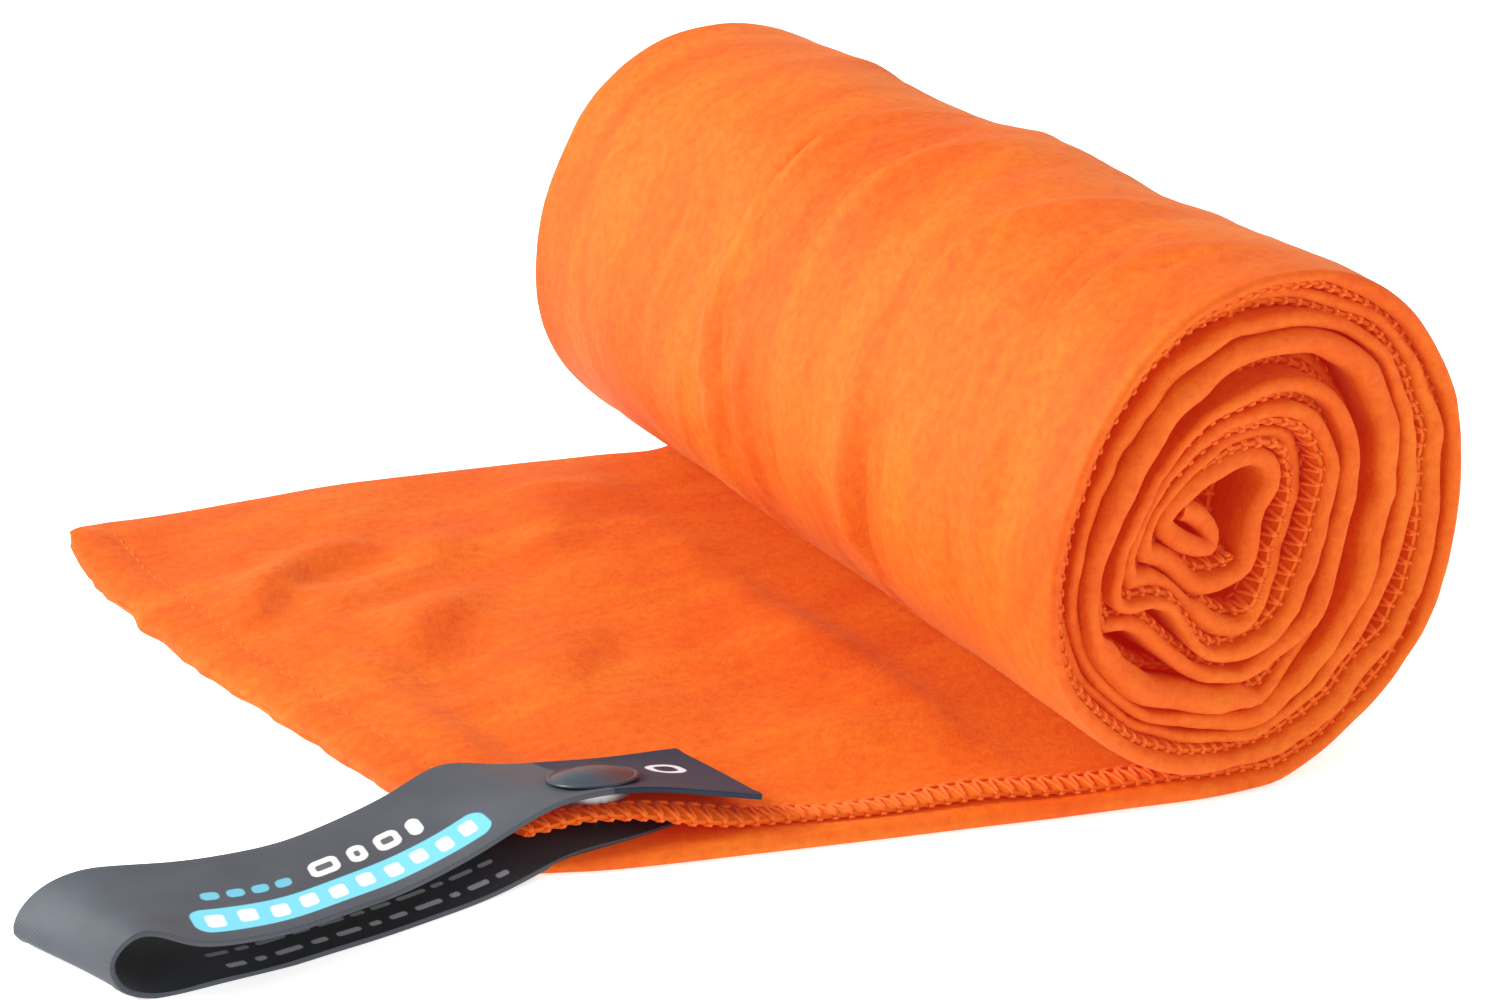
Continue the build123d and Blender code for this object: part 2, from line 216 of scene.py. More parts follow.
# Per turn, read along the turn: set back of the fold, set back of the hem behind
# the fold, and how much of the hem shows inside the fold.
ATT = [
    ([0, 0, 0, 0, 0, 0, 0, .1, .2], [2.4, 1.0, 1.2, 3, 2.2, .9, .6, .9, 1.5], [1, 1, 1, .2, .4, .9, 1, .9, .7]),
    ([.3, .2, .2, .3, 1.0, 2.4, 3.2, 2.8, 1.4], [1.6, 1.6, 1.2, 1.0, .8, .8, .8, 2, 3], [1, 1, 1, 1, 1, 1, 1, .5, .6]),
    ([1.2, .8, .4, .3, .5, 1.0, 1.8, 1.8, 1.2], [6, 6, 6, 6, 6, 6, 6, 6, 6], [0, 0, 0, 0, 0, 0, 0, 0, 0]),
    ([.6, .2, 0, -.3, -.3, -.3, -.2, 0, .3], [8, 8, 8, 8, 8, 8, 8, 7, 6], [0, 0, 0, 0, 0, 0, 0, 0, 0]),
    ([.3, 5, 7, 7, 6.5, 4, 1.0, .8, .4], [1.5, 0, -1, -1, -1, 0, 1.4, 2, 3], [1, 1, 1, 1, 1, .5, .8, .8, .6]),
    ([.2, 0, 0, 0, .3, .6, .6, .4, .3], [5, 5, 4, 1.4, 1.4, 2.5, 1.5, 1.5, 2.5], [0, 0, .4, 1, 1, .5, .8, .8, .4]),
    ([.3, .1, 0, .4, 1.2, 1.8, 1.8, 1.4, .8], [2, 1, .6, .6, .9, 1.6, 2.5, 3, 2], [.8, 1, 1, 1, .8, .5, .3, .3, .6]),
    ([1.5, 3, 3.2, 2.5, 2.0, 2.2, 2.4, 2, 1.6], [-.5, -1.5, -1.5, -.8, .6, 2, 3, 2, 1], [1, 1, 1, 1, .6, .2, .2, .5, .8]),
    ([1.6, 1.4, 1.2, 1.4, 1.8, 2.0, 2.0, 2.0, 2.4], [8, 10, 11, 11, 11, 11, 11, 11, 11], [0, 0, 0, 0, 0, 0, 0, 0, 0]),
]
WIDEST = [3.3, 3.3, 3.2, 4.5, 2.4, 3.3, 3.2, 3.2, 3.2]
ctrl = []
for pts, (rf, rh, sp), wide in zip([T1, T2, T3, T4, T5, T6, T7, T8, CORE], ATT, WIDEST):
    f = np.linspace(0, 1, len(pts), endpoint=False)
    g = np.linspace(0, 1, 9)
    for (x, z), u in zip(pts, f):
        ctrl.append((x, z, np.interp(u, g, rf), np.interp(u, g, rh), np.interp(u, g, sp), wide))
ctrl = np.array(ctrl)
XY = ctrl[:, :2]
arc = np.concatenate([[0], np.cumsum(np.linalg.norm(np.diff(XY, axis=0), axis=1))])
tt = np.linspace(0, arc[-1], 7000)
pp = nspline(arc, XY, tt)
true = np.concatenate([[0], np.cumsum(np.linalg.norm(np.diff(pp, axis=0), axis=1))])
S_CTRL = np.interp(arc, tt, true)
S0 = float(np.interp(arc[1], tt, true))      # the place where the flap's first bend line is, x = -18
true, S_CTRL = true - S0, S_CTRL - S0
S_END = true[-1]
pp_s = true


def path(s):
    """Outer face of the roll at its near end: x, z."""
    return np.stack([np.interp(s, pp_s, pp[:, 0]), np.interp(s, pp_s, pp[:, 1])], -1)


def path_normal(s):
    """Unit normal of the path, towards the roll's inside."""
    a, b = path(np.maximum(s - 0.8, pp_s[0])), path(np.minimum(s + 0.8, S_END))
    d = b - a
    d /= np.linalg.norm(d, axis=-1, keepdims=True)
    return np.stack([-d[..., 1], d[..., 0]], -1)


def attr(s, col):
    return np.interp(s, S_CTRL, ctrl[:, col])


# distance from each point of the path to what lies inside it
sd = np.arange(0, S_END, 1.0)
pd_, nd_ = path(sd), path_normal(sd)
room = np.full(len(sd), 6.5)
for i in range(len(sd)):
    d = pd_ - pd_[i]
    along = d @ nd_[i]
    side = np.abs(d @ np.array([nd_[i][1], -nd_[i][0]]))
    ok = (along > 0.8) & (side < 1.2) & (np.abs(sd - sd[i]) > 8)
    if ok.any():
        room[i] = min(6.5, along[ok].min())
kern = np.ones(7) / 7
room = np.convolve(np.pad(room, 3, mode="edge"), kern, "valid")


def band(s):
    """Depth of the two folded layers that show at the near end."""
    return np.clip(np.interp(s, sd, room) - 0.3 - 1.25 * attr(s, 4), 1.75, attr(s, 5))
# END OF PATH

# ------------------------------------------------------------------ the flap
NEAR = np.array([(-18, -78.6), (-35, -73.9), (-58.7, -67.3), (-82, -60.8), (-93, -57.4), (-104, -53)], float)
FAR = np.array([(-18, 77), (-29, 81.5), (-43, 85), (-58, 88.4), (-72, 91), (-87, 92.2), (-117, 92.8), (-125, 91.6)], float)
BOW = np.array([(0, 0), (.05, -1.0), (.12, -2.6), (.229, -3.8), (.319, -4.3), (.4716, -5.1), (.645, -5.5), (.863, -2.9), (1, 0)], float)


def chord(P):
    t = np.concatenate([[0], np.cumsum(np.linalg.norm(np.diff(P, axis=0), axis=1))])
    return t / t[-1]


NT, FT = chord(NEAR), chord(FAR)
NEAR_Q = nspline(NT, NEAR, np.linspace(0, 1, 200))
FAR_Q = nspline(FT, FAR, np.linspace(0, 1, 200))
TQ = np.linspace(0, 1, 200)


def flap_plan(p, v):
    """Plan position on the flap. p runs 0 at the roll to 1 at the short end, v 0 at the near edge to 1 at the far one."""
    nx, ny = np.interp(p, TQ, NEAR_Q[:, 0]), np.interp(p, TQ, NEAR_Q[:, 1])
    fx, fy = np.interp(p, TQ, FAR_Q[:, 0]), np.interp(p, TQ, FAR_Q[:, 1])
    bow = np.interp(v, BOW[:, 0], BOW[:, 1]) * p ** 2.2
    return nx + (fx - nx) * v + bow, ny + (fy - ny) * v


def ridge(x, y, pts, h, w):
    """A soft crease: height h, half width w, along the polyline pts, fading at its ends."""
    out = np.zeros_like(x)
    pts = np.asarray(pts, float)
    seg = np.linalg.norm(np.diff(pts, axis=0), axis=1)
    tot, at = seg.sum(), 0.0
    best = np.full(x.shape, 1e9)
    pos = np.zeros_like(x)
    for (ax, ay), (bx, by), l in zip(pts[:-1], pts[1:], seg):
        u = np.clip(((x - ax) * (bx - ax) + (y - ay) * (by - ay)) / l ** 2, 0, 1)
        d = np.hypot(x - ax - u * (bx - ax), y - ay - u * (by - ay))
        m = d < best
        best = np.where(m, d, best)
        pos = np.where(m, at + u * l, pos)
        at += l
    fade = np.sin(np.clip(pos / tot, 0, 1) * math.pi) ** 0.6
    out = h * fade * np.exp(-(best / w) ** 2)
    return out


FLAP_RIDGES = [
    ([(-110.1, 40.6), (-104.0, 50.9), (-95.6, 58.5), (-86.8, 61.8), (-79.1, 61.5)], 1.7, 4.0),
    ([(-100.2, 43.2), (-90.7, 44.3), (-79.7, 47.6), (-69.3, 54.9), (-58.8, 60.1)], 1.3, 5.5),
    ([(-93.7, 18.1), (-85.5, 27.6), (-77.2, 33.9), (-70.6, 35.3)], 1.3, 4.5),
    ([(-102.0, 18.5), (-100.7, 1.9), (-99.8, -11.0), (-97.9, -21.8), (-93.2, -32.0)], 1.1, 4.0),
    ([(-110.2, 32.7), (-103.7, 22.5), (-96.3, 11.0)], 0.7, 4.0),
    ([(-81.7, -8.9), (-73.8, 1.3), (-67.3, 8.4), (-61.0, 6.6)], 0.9, 5.5),
    ([(-73.5, -13.5), (-69.2, -22.0), (-59.9, -21.1)], 0.5, 6.0),
    ([(-97.6, 47.3), (-87.7, 51.2), (-81.0, 53.1), (-72.1, 55.5)], -1.5, 4.5),
    ([(-95.0, 7.7), (-87.3, 7.7), (-81.2, 16.2), (-76.8, 26.3)], -1.6, 6.0),
    ([(-109.9, 32.5), (-104.0, 41.7), (-96.0, 44.5)], -0.6, 3.0),
    ([(-91.2, -3.5), (-92.4, -16.8), (-90.8, -27.3)], -0.7, 4.5),
    ([(-50.4, 16.9), (-47.4, 1.6), (-44.6, -13.1), (-40.9, -31.9)], -0.9, 8.0),
    ([(-30.9, 50.0), (-34.2, 25.7), (-35.0, 3.6), (-32.5, -17.8), (-30.1, -38.0), (-27.7, -57.2)], 1.1, 6.0),
    ([(-108.0, 68.4), (-97.3, 72.2), (-87.2, 74.1)], 0.6, 5.0),
    ([(-60, -30), (-50, -40), (-38, -46), (-30, -58)], 0.7, 4.5),
    ([(-56, 40), (-48, 58), (-40, 72)], 0.8, 6.0),
    ([(-66, -44), (-52, -52), (-40, -60)], -0.5, 3.5),
]
nA, nB, nC = Noise(11, 46), Noise(12, 17), Noise(13, 7)


def flap_wave(x, y):
    out = np.zeros_like(x)
    for pts, h, w in FLAP_RIDGES:
        out += ridge(x, y, pts, h * (1.3 if h > 0 else .85), w * 1.08)
    out += 0.42 * nA(x, y) + 0.10 * nB(x, y) + 0.025 * nC(x, y)
    return out


def corner(x, y):
    """1 at the corner where the tape is sewn, 0 away from it."""
    return np.exp(-(((x + 103) / 15) ** 2 + ((y + 50) / 10) ** 2))


def farcorner(x, y):
    return np.exp(-(((x + 127) / 13) ** 2 + ((y - 92) / 11) ** 2))


HEM_P = np.array([(0, 1.2), (.05, 1.8), (.21, 3.4), (.384, 3.5), (.547, 4.2), (.65, 3.4), (.733, 3.0), (.814, 4.5), (.878, 5.6), (.953, 3.6), (1, 2.6)], float)

# ------------------------------------------------------- the folded strip
# Points of the cross-section, from the near hem of the inner layer round the far
# fold and the near fold to the far hem of the outer layer. cross() below builds
# each as (y, n, layer).


def cross(s, near_rf, near_rh, b, far_rf, far_rh, dense):
    """Per row: y from the near end plane (mm, 0 at YN) and n, with n inwards. The cloth
    is folded in three like a letter: layer 1 is the outside, layer 2 is turned in at the
    near end, and layer 3 is turned in over it at the far end. Returns arrays (rows, k)
    and the layer number of each column."""
    m = len(s)
    W = YF - YN
    h = C / 2
    cols_y, cols_n, lay = [], [], []

    def add(y, n, l):
        cols_y.append(np.broadcast_to(y, (m,)).astype(float))
        cols_n.append(np.broadcast_to(n, (m,)).astype(float))
        lay.append(l)

    m1, m2, m3 = h + 0 * b, h + np.minimum(C + 0.25, b * .36), h + np.minimum(2 * C + 0.5, b * .72)
    n3 = b + h + 0.12
    y0 = near_rf + near_rh
    for d in HEM_D:
        w = smooth(np.clip(d / 20.0, 0, 1))
        add(y0 + d, n3 * (1 - w) + m3 * w, 3)
    for t in np.linspace(0, 1, 72 if dense else 9)[1:-1]:
        add((y0 + 20) * (1 - t) + (W - far_rf - 16) * t, m3, 3)
    R = np.maximum((b + 0.2 - 2 * h) / 2, .8)
    for d in [16, 11, 7, 4]:
        w = smooth(1 - d / 16.0)
        add(W - far_rf - R - d, m3 * (1 - w) + (h + 2 * R) * w, 3)
    for a in np.radians(np.linspace(90, -90, 9)):
        add(W - far_rf - R + R * math.cos(a), h + R + R * math.sin(a), 2.5)
    for d in [3, 6, 10, 14]:
        add(W - far_rf - R - d, m1, 1)
    rU = np.maximum((b - 2 * h) / 2, .4)
    for t in np.linspace(0, 1, 86 if dense else 12)[1:-1]:
        add((W - far_rf - R - 14) * (1 - t) + (near_rf + rU + 11) * t, m1, 1)
    for d in [9, 5.5, 3, 1.2]:
        add(near_rf + rU + d, m1, 1)
    for a in np.radians(np.linspace(-90, 90, 11)):
        add(near_rf + rU - rU * math.cos(a), h + rU + rU * math.sin(a), 1.5)
    for d in [1.2, 3, 5.5, 9, 14]:
        w = smooth(1 - d / 14.0)
        add(near_rf + rU + d, m2 * (1 - w) + (h + 2 * rU) * w, 2)
    for t in np.linspace(0, 1, 13)[1:-1]:
        add((near_rf + rU + 14) * (1 - t) + (W - far_rf - far_rh - 8) * t, m2, 2)
    for d in [5.5, 3.5, 2, 1, 0]:
        add(W - far_rf - far_rh - d, m2, 2)
    return np.stack(cols_y, 1), np.stack(cols_n, 1), np.array(lay)


HEM_D = [0, .35, 1.1, 2.3, 3.4, 4.2, 5.0, 7.5, 12, 20]
HEM_T = [.34, .50, .60, .60, .50, .27, .40]


def halves(G, lay):
    """Half thickness of the cloth: fuller inside the overlocked edge, drawn in at the needle line."""
    h = np.full(G.shape[1], C / 2)
    h[:len(HEM_T)] = HEM_T
    return np.broadcast_to(h[None, :], G.shape[:2])


# wrinkles of the roll's outside, in (distance along the path from the contact with
# the floor, y): lists of points, height, half width
ROLL_RIDGES = [
    ([(126, 13), (144.0, 15.7), (152.0, 16.7), (162.0, 16.2), (172.0, 16.9), (178.0, 17.9), (184.0, 19.2), (190.0, 19.7), (197.0, 18.7), (204.0, 17.7)], 1.0, 2.4),
    ([(150, 21.0), (159.0, 21.7), (165.0, 21.7), (172.0, 20.7), (177.0, 19.7)], 0.7, 2.0),
    ([(200.0, 18.7), (206.0, 16.0), (213.0, 14.7), (222.0, 13.0), (228.0, 13.7)], 0.8, 2.4),
    ([(150.0, 18.9), (158.0, 18.9), (166.0, 18.6), (172.0, 18.4)], -0.7, 1.6),
    ([(186, 15.6), (193.0, 13.7), (201.0, 11.7), (210.0, 10.7), (217.0, 8.5)], -0.9, 3.0),
    ([(188.0, 8.7), (195.0, 7.7), (203.0, 6.7), (211.0, 4.7), (223.0, 4.7)], 0.8, 2.8),
    ([(136, 0), (148.0, 1.7), (157.0, 2.7), (166.0, 2.7), (175.0, 2.7)], -1.0, 3.6),
    ([(134, -11), (147.0, -7.3), (156.0, -4.3), (165.0, -2.3), (174.0, -1.3), (180.0, -1.3)], 0.9, 3.6),
    ([(132, -48), (147.0, -41.3), (156.0, -36.3), (165.0, -34.3), (174.0, -32.8), (180.0, -33.3)], 1.0, 3.2),
    ([(177.0, -26.3), (184.0, -26.3), (192.0, -26.3), (200.0, -27.3), (208.0, -28.3), (219.0, -26.3)], 0.9, 3.4),
    ([(188.0, -34.3), (195.0, -33.3), (203.0, -33.3), (213.0, -33.3), (224.0, -32.3)], -0.9, 3.6),
    ([(175.0, -64.3), (181.0, -63.3), (188.0, -63.3), (195.0, -64.3), (203.0, -65.3), (208.0, -67.3)], 0.9, 3.6),
    ([(183.0, -69.3), (190.0, -69.3), (199.0, -71.3)], -0.5, 4.0),
    ([(128, -72), (143.0, -68.3), (148.0, -65.3), (157.0, -63.6), (165.0, -64.3), (171.0, -65.3)], 0.9, 3.0),
    ([(150.0, -70.3), (156.0, -69.3), (163.0, -68.3), (170.0, -68.3), (175.0, -68.8)], 0.5, 2.2),
    ([(140, -54), (153.0, -56.3), (162.0, -58.3), (169.0, -60.3)], -0.9, 4.5),
    ([(134, -22), (147.0, -20.3), (155.0, -18.3), (164.0, -17.3)], -0.7, 4.5),
    ([(196.0, 21.7), (205.0, 23.7), (213.0, 19.7)], 0.3, 5.0),
    ([(209.0, 24.7), (217.0, 18.7), (228.0, 17.7)], 0.5, 1.6),
    ([(219.0, -29.3), (228.0, -26.3), (235.0, -24.3)], 0.4, 1.6),
    ([(205.0, -3.3), (213.0, -6.3), (221.0, -11.3)], -0.5, 2.8),
    ([(188.0, -48.3), (197.0, -49.3), (209.0, -51.3), (221.0, -51.3)], 0.4, 6.0),
    ([(173.0, 58.7), (187.0, 58.7), (200.0, 54.7)], 0.4, 8.0),
    ([(182.0, -4.3), (190.0, -6.3), (200.0, -11.3)], 0.3, 7.0),
    ([(228, 32), (214, 27), (200, 27)], 0.4, 1.8),
    ([(232, 6), (222, 9), (210, 11)], 0.4, 1.5),
    ([(234, -12), (222, -14), (208, -17)], 0.4, 1.8),
    ([(100, 20), (116, 8), (130, -6)], 0.8, 4.0),
    ([(92, -30), (108, -34), (124, -46)], 0.8, 4.5),
    ([(70, 40), (84, 30), (100, 24)], 0.7, 5.0),
    ([(60, -20), (76, -12), (90, -8)], 0.7, 5.0),
    ([(110, 60), (124, 52), (140, 50)], 0.6, 5.0),
]


def roll_wave(s, y):
    out = np.zeros_like(s)
    for pts, h, w in ROLL_RIDGES:
        out += ridge(s, y, pts, h * 1.9, w * .78)
    return out


nR, nR2, nR3 = Noise(21, 60), Noise(22, 20), Noise(23, 6)


def strip(s, dense):
    """The folded strip for rows s >= 0: grid of points in the working frame, mm."""
    k = smooth(s / 22.0)
    rf = attr(s, 2) + 4.8 * (1 - np.clip(s / 22, 0, 1)) ** 1.4
    rh, b = attr(s, 3), band(s)
    wob = (0.30 * nB(s * 1.0, 0 * s) + 0.16 * nC(s, 0 * s + 9)) * (.25 + .75 * smooth((s - 235) / 40.0))
    rf = rf + wob * 0.8
    b = b * (1 + 0.035 * nC(s * .6, 0 * s + 40))
    far_rf = 0.6 + 0.8 * (1 + np.sin(s / 37.0)) + np.clip((s - 260) / 120, 0, 1) * 1.5 + 6.0 * (1 - np.clip(s / 22, 0, 1)) ** 1.4 + wob
    far_rh = 5.0 + 1.0 * (1 + np.sin(s / 51.0 + 1))
    Y, N, lay = cross(s, rf, rh, b, far_rf, far_rh, dense)
    Y = Y + 0 * Y
    Pn, nn = path(s), path_normal(s)
    v = np.clip(Y / L, 0, 1)
    scale = 1 - 0.03 * v
    S = np.broadcast_to(s[:, None], Y.shape)
    if dense:
        out = (lay == 1)[None, :]
        edge = smooth(Y / 9.0) * smooth((L - Y) / 9.0)
        floor = smooth((S - 30) / 30.0) * smooth((262 - S) / 24.0)
        w = roll_wave(S, Y + YN) * (.45 + .55 * smooth((S - 132) / 32.0)) + 0.32 * nR(S, Y * 1.0) + 0.09 * nR2(S * .8, Y) + 0.02 * nR3(S, Y)
        N = N - np.where(out, w * (0.15 + 0.85 * edge) * floor, 0)
    inner = smooth((S - 250) / 60.0)
    N = N + (0.11 * nC(S * .5, Y * .25 + 3) * inner + 0.09 * nB(S, Y) * (.35 + .65 * inner)) * smooth((S - 20) / 20.0)
    n3 = N[..., None] * nn[:, None, :]
    XZ = Pn[:, None, :] * scale[..., None] + n3
    G = np.stack([XZ[..., 0], YN + Y, XZ[..., 1]], -1)
    return G, lay


def flap(p):
    """The folded strip for the flap: rows p from 0 at the roll to 1 at the short end."""
    m = len(p)
    h = C / 2
    q = 1 - smooth(p / 0.16)                                         # 1 where it joins the roll
    rh = np.interp(p, HEM_P[:, 0], HEM_P[:, 1])
    W = np.linalg.norm(np.stack(flap_plan(p, 1 + 0 * p)) - np.stack(flap_plan(p, 0 * p)), axis=0)
    b0 = band(np.array([0.0]))[0]
    b = b0 * q + 2.6 * (1 - q)
    cols = []
    lay = []

    # distance from the near edge, n, layer
    def add(y, n, l):
        cols.append((np.broadcast_to(y, (m,)).astype(float), np.broadcast_to(n, (m,)).astype(float)))
        lay.append(l)
    rU = np.maximum((b - 2 * h) / 2, .4)
    m1, m2, m3 = h + 0 * p, h + np.minimum(C + .25, b * .36), h + np.minimum(2 * C + .5, b * .72)
    m2, m3 = m2 * q + (h + 1.15) * (1 - q), m3 * q + (h + 2.45) * (1 - q)
    n3 = (b + h + .12) * q + (h + 2.45 + .3) * (1 - q)
    for d in HEM_D:
        w = smooth(d / 20.0)
        add(rh + d, n3 * (1 - w) + m3 * w, 3)
    for t in np.linspace(0, 1, 72)[1:-1]:
        add((rh + 20) * (1 - t) + (W - 16) * t, m3, 3)
    R = np.maximum((b + 0.2 - 2 * h) / 2, .8)
    for d in [16, 11, 7, 4]:
        w = smooth(1 - d / 16.0)
        add(W - R - d, m3 * (1 - w) + (h + 2 * R) * w, 3)
    for a in np.radians(np.linspace(90, -90, 9)):
        add(W - R + R * math.cos(a), h + R + R * math.sin(a), 2.5)
    for d in [3, 6, 10, 14]:
        add(W - R - d, m1, 1)
    for t in np.linspace(0, 1, 86)[1:-1]:
        add((W - R - 14) * (1 - t) + (rU + 11) * t, m1, 1)
    for d in [9, 5.5, 3, 1.2]:
        add(rU + d, m1, 1)
    for a in np.radians(np.linspace(-90, 90, 11)):
        add(rU - rU * math.cos(a), h + rU + rU * math.sin(a), 1.5)
    for d in [1.2, 3, 5.5, 9, 14]:
        w = smooth(1 - d / 14.0)
        add(rU + d, m2 * (1 - w) + (h + 2 * rU) * w, 2)
    for t in np.linspace(0, 1, 13)[1:-1]:
        add((rU + 14) * (1 - t) + (W - 15) * t, m2, 2)
    for d in [5.5, 3.5, 2, 1, 0]:
        add(W - 7.0 - d, m2, 2)
    D = np.stack([c[0] for c in cols], 1)
    N = np.stack([c[1] for c in cols], 1)
    lay = np.array(lay)
    V = D / W[:, None]
    Pq = np.broadcast_to(p[:, None], V.shape)
    X, Y = flap_plan(Pq, V)
    X = X + (0.38 * nB(0 * Y + 5, Y) + 0.18 * nC(0 * Y + 1, Y)) * smooth((Pq - .8) / .2) * smooth((Y + 34) / 12)
    free = (1 - q)[:, None]
    wave = flap_wave(X, Y)
    edge = smooth(V * 14) * smooth((1 - V) * 10) * smooth((1 - Pq) * 7)
    ky = np.where(lay == 3, 1.0, np.where(lay == 2.5, .55, np.where(lay == 2, .5, np.where(lay == 1.5, .15, 0.0))))[None, :]
    wv = wave * free * (0.25 + 0.75 * edge)
    wv = np.where(wv < -1.2, -1.2, wv)
    Z = N + np.maximum(wv, -0.9) * ky + np.where(lay == 3, 0.35, 0.0)[None, :] * free
    # the corner under the tape: the top layer lies against the stud's plane, so its
    # hem stands up over the sewn end, and the fold below it is pressed flat
    a_, b_ = (X + 101.5) * 0.9903 - (Y + 42.5) * 0.1392, -(X + 101.5) * 0.1361 - (Y + 42.5) * 0.9686
    zp = 5.08 + np.where(b_ > 0, 0.27, 0.2125) * b_ - C / 2 - 0.14
    c = np.exp(-(((a_ - 6) / 19) ** 4 + ((b_ - 1) / 13) ** 4))
    c3 = c * np.where(lay == 3, 1.0, np.where(lay == 2.5, 0.0, 0.0))[None, :]
    Z = Z * (1 - c3) + np.maximum(zp, Z) * c3
    low = (lay < 2.4)[None, :]
    Z = np.where(low, Z * (1 - c) + np.minimum(Z, 1.22) * c, Z)
    # the short end is pressed together and rounded, with a needle line 8 mm in, and its far corner curls up
    pin = smooth((Pq - .90) / .08) * (1 - c)
    flatz = np.where(lay == 3, 2.45, np.where(lay == 2.5, 1.9, np.where(lay == 2, 1.45, np.where(lay == 1.5, .9, .45))))[None, :]
    Z = Z * (1 - pin) + flatz * pin
    puff = np.exp(-((1 - Pq) * 105 - 4.2) ** 2 / 7.0) * .45
    Z = Z + puff * (1 - c) * np.where(lay == 3, 1.0, 0.0)[None, :]
    kk = np.clip((Pq - .968) / .032, 0, 1)
    Z = Z + (1.3 - Z) * (1 - np.sqrt(np.maximum(0, 1 - kk ** 2))) * (1 - c) * .92
    Z = Z - .38 * np.exp(-(((1 - Pq) * 105 - 8.2) / .9) ** 2) * (1 - c) * np.where(lay == 3, 1.0, 0.0)[None, :]
    fc = farcorner(X, Y)
    Z = Z + 2.2 * fc + .8 * fc ** 6
    X = X - 1.2 * fc ** 4
    # the far corner is rounded
    tip = 3.0 * np.exp(-(np.hypot(X + 126.5, Y - 91.3) / 4.8) ** 2)
    X, Y = X + .78 * tip, Y - .62 * tip
    return np.stack([X, Y, Z], -1), lay


# ------------------------------------------------------------------ materials
def new_mat(name):
    mt = bpy.data.materials.new(name)
    mt.use_nodes = True
    nt = mt.node_tree
    nt.nodes.clear()
    out = nt.nodes.new("ShaderNodeOutputMaterial")
    bs = nt.nodes.new("ShaderNodeBsdfPrincipled")
    nt.links.new(bs.outputs[0], out.inputs[0])
    return mt, nt, bs


def node(nt, kind, **kw):
    n = nt.nodes.new(kind)
    for k, v in kw.items():
        setattr(n, k, v)
    return n


def coord(nt, scale=(1, 1, 1), rot=(0, 0, 0)):
    """Object coordinates of the piece."""
    tc = node(nt, "ShaderNodeTexCoord")
    mp = node(nt, "ShaderNodeMapping")
    mp.inputs["Scale"].default_value = scale
    mp.inputs["Rotation"].default_value = rot
    nt.links.new(tc.outputs["Object"], mp.inputs["Vector"])
    return mp.outputs[0]


def uvcoord(nt, scale=(1, 1, 1)):
    tc = node(nt, "ShaderNodeUVMap", uv_map="strip")
    mp = node(nt, "ShaderNodeMapping")
    mp.inputs["Scale"].default_value = scale
    nt.links.new(tc.outputs[0], mp.inputs["Vector"])
    return mp.outputs[0]


def noise_tex(nt, vec, scale, detail=3.0, rough=.55, distortion=0.0):
    n = node(nt, "ShaderNodeTexNoise")
    n.inputs["Scale"].default_value = scale
    n.inputs["Detail"].default_value = detail
    n.inputs["Roughness"].default_value = rough
    n.inputs["Distortion"].default_value = distortion
    nt.links.new(vec, n.inputs["Vector"])
    return n.outputs["Fac"]


def ramp(nt, fac, stops):
    r = node(nt, "ShaderNodeValToRGB")
    while len(r.color_ramp.elements) < len(stops):
        r.color_ramp.elements.new(.5)
    for e, (pos, col) in zip(r.color_ramp.elements, stops):
        e.position = pos
        e.color = (*col, 1)
    nt.links.new(fac, r.inputs[0])
    return r.outputs[0]


def mix(nt, fac, a, b, mode="MIX"):
    m = node(nt, "ShaderNodeMix", data_type="RGBA", blend_type=mode)
    for sock, val in ((m.inputs[0], fac), (m.inputs[6], a), (m.inputs[7], b)):
        if hasattr(val, "is_output") or hasattr(val, "links"):
            nt.links.new(val, sock)
        elif sock == m.inputs[0]:
            sock.default_value = val
        else:
            sock.default_value = (*val, 1) if len(val) == 3 else val
    return m.outputs[2]


def bump(nt, bs, height, strength, dist, under=None):
    b = node(nt, "ShaderNodeBump")
    b.inputs["Strength"].default_value = strength
    b.inputs["Distance"].default_value = dist
    nt.links.new(height, b.inputs["Height"])
    if under is not None:
        nt.links.new(under, b.inputs["Normal"])
    nt.links.new(b.outputs[0], bs.inputs["Normal"])
    return b.outputs[0]


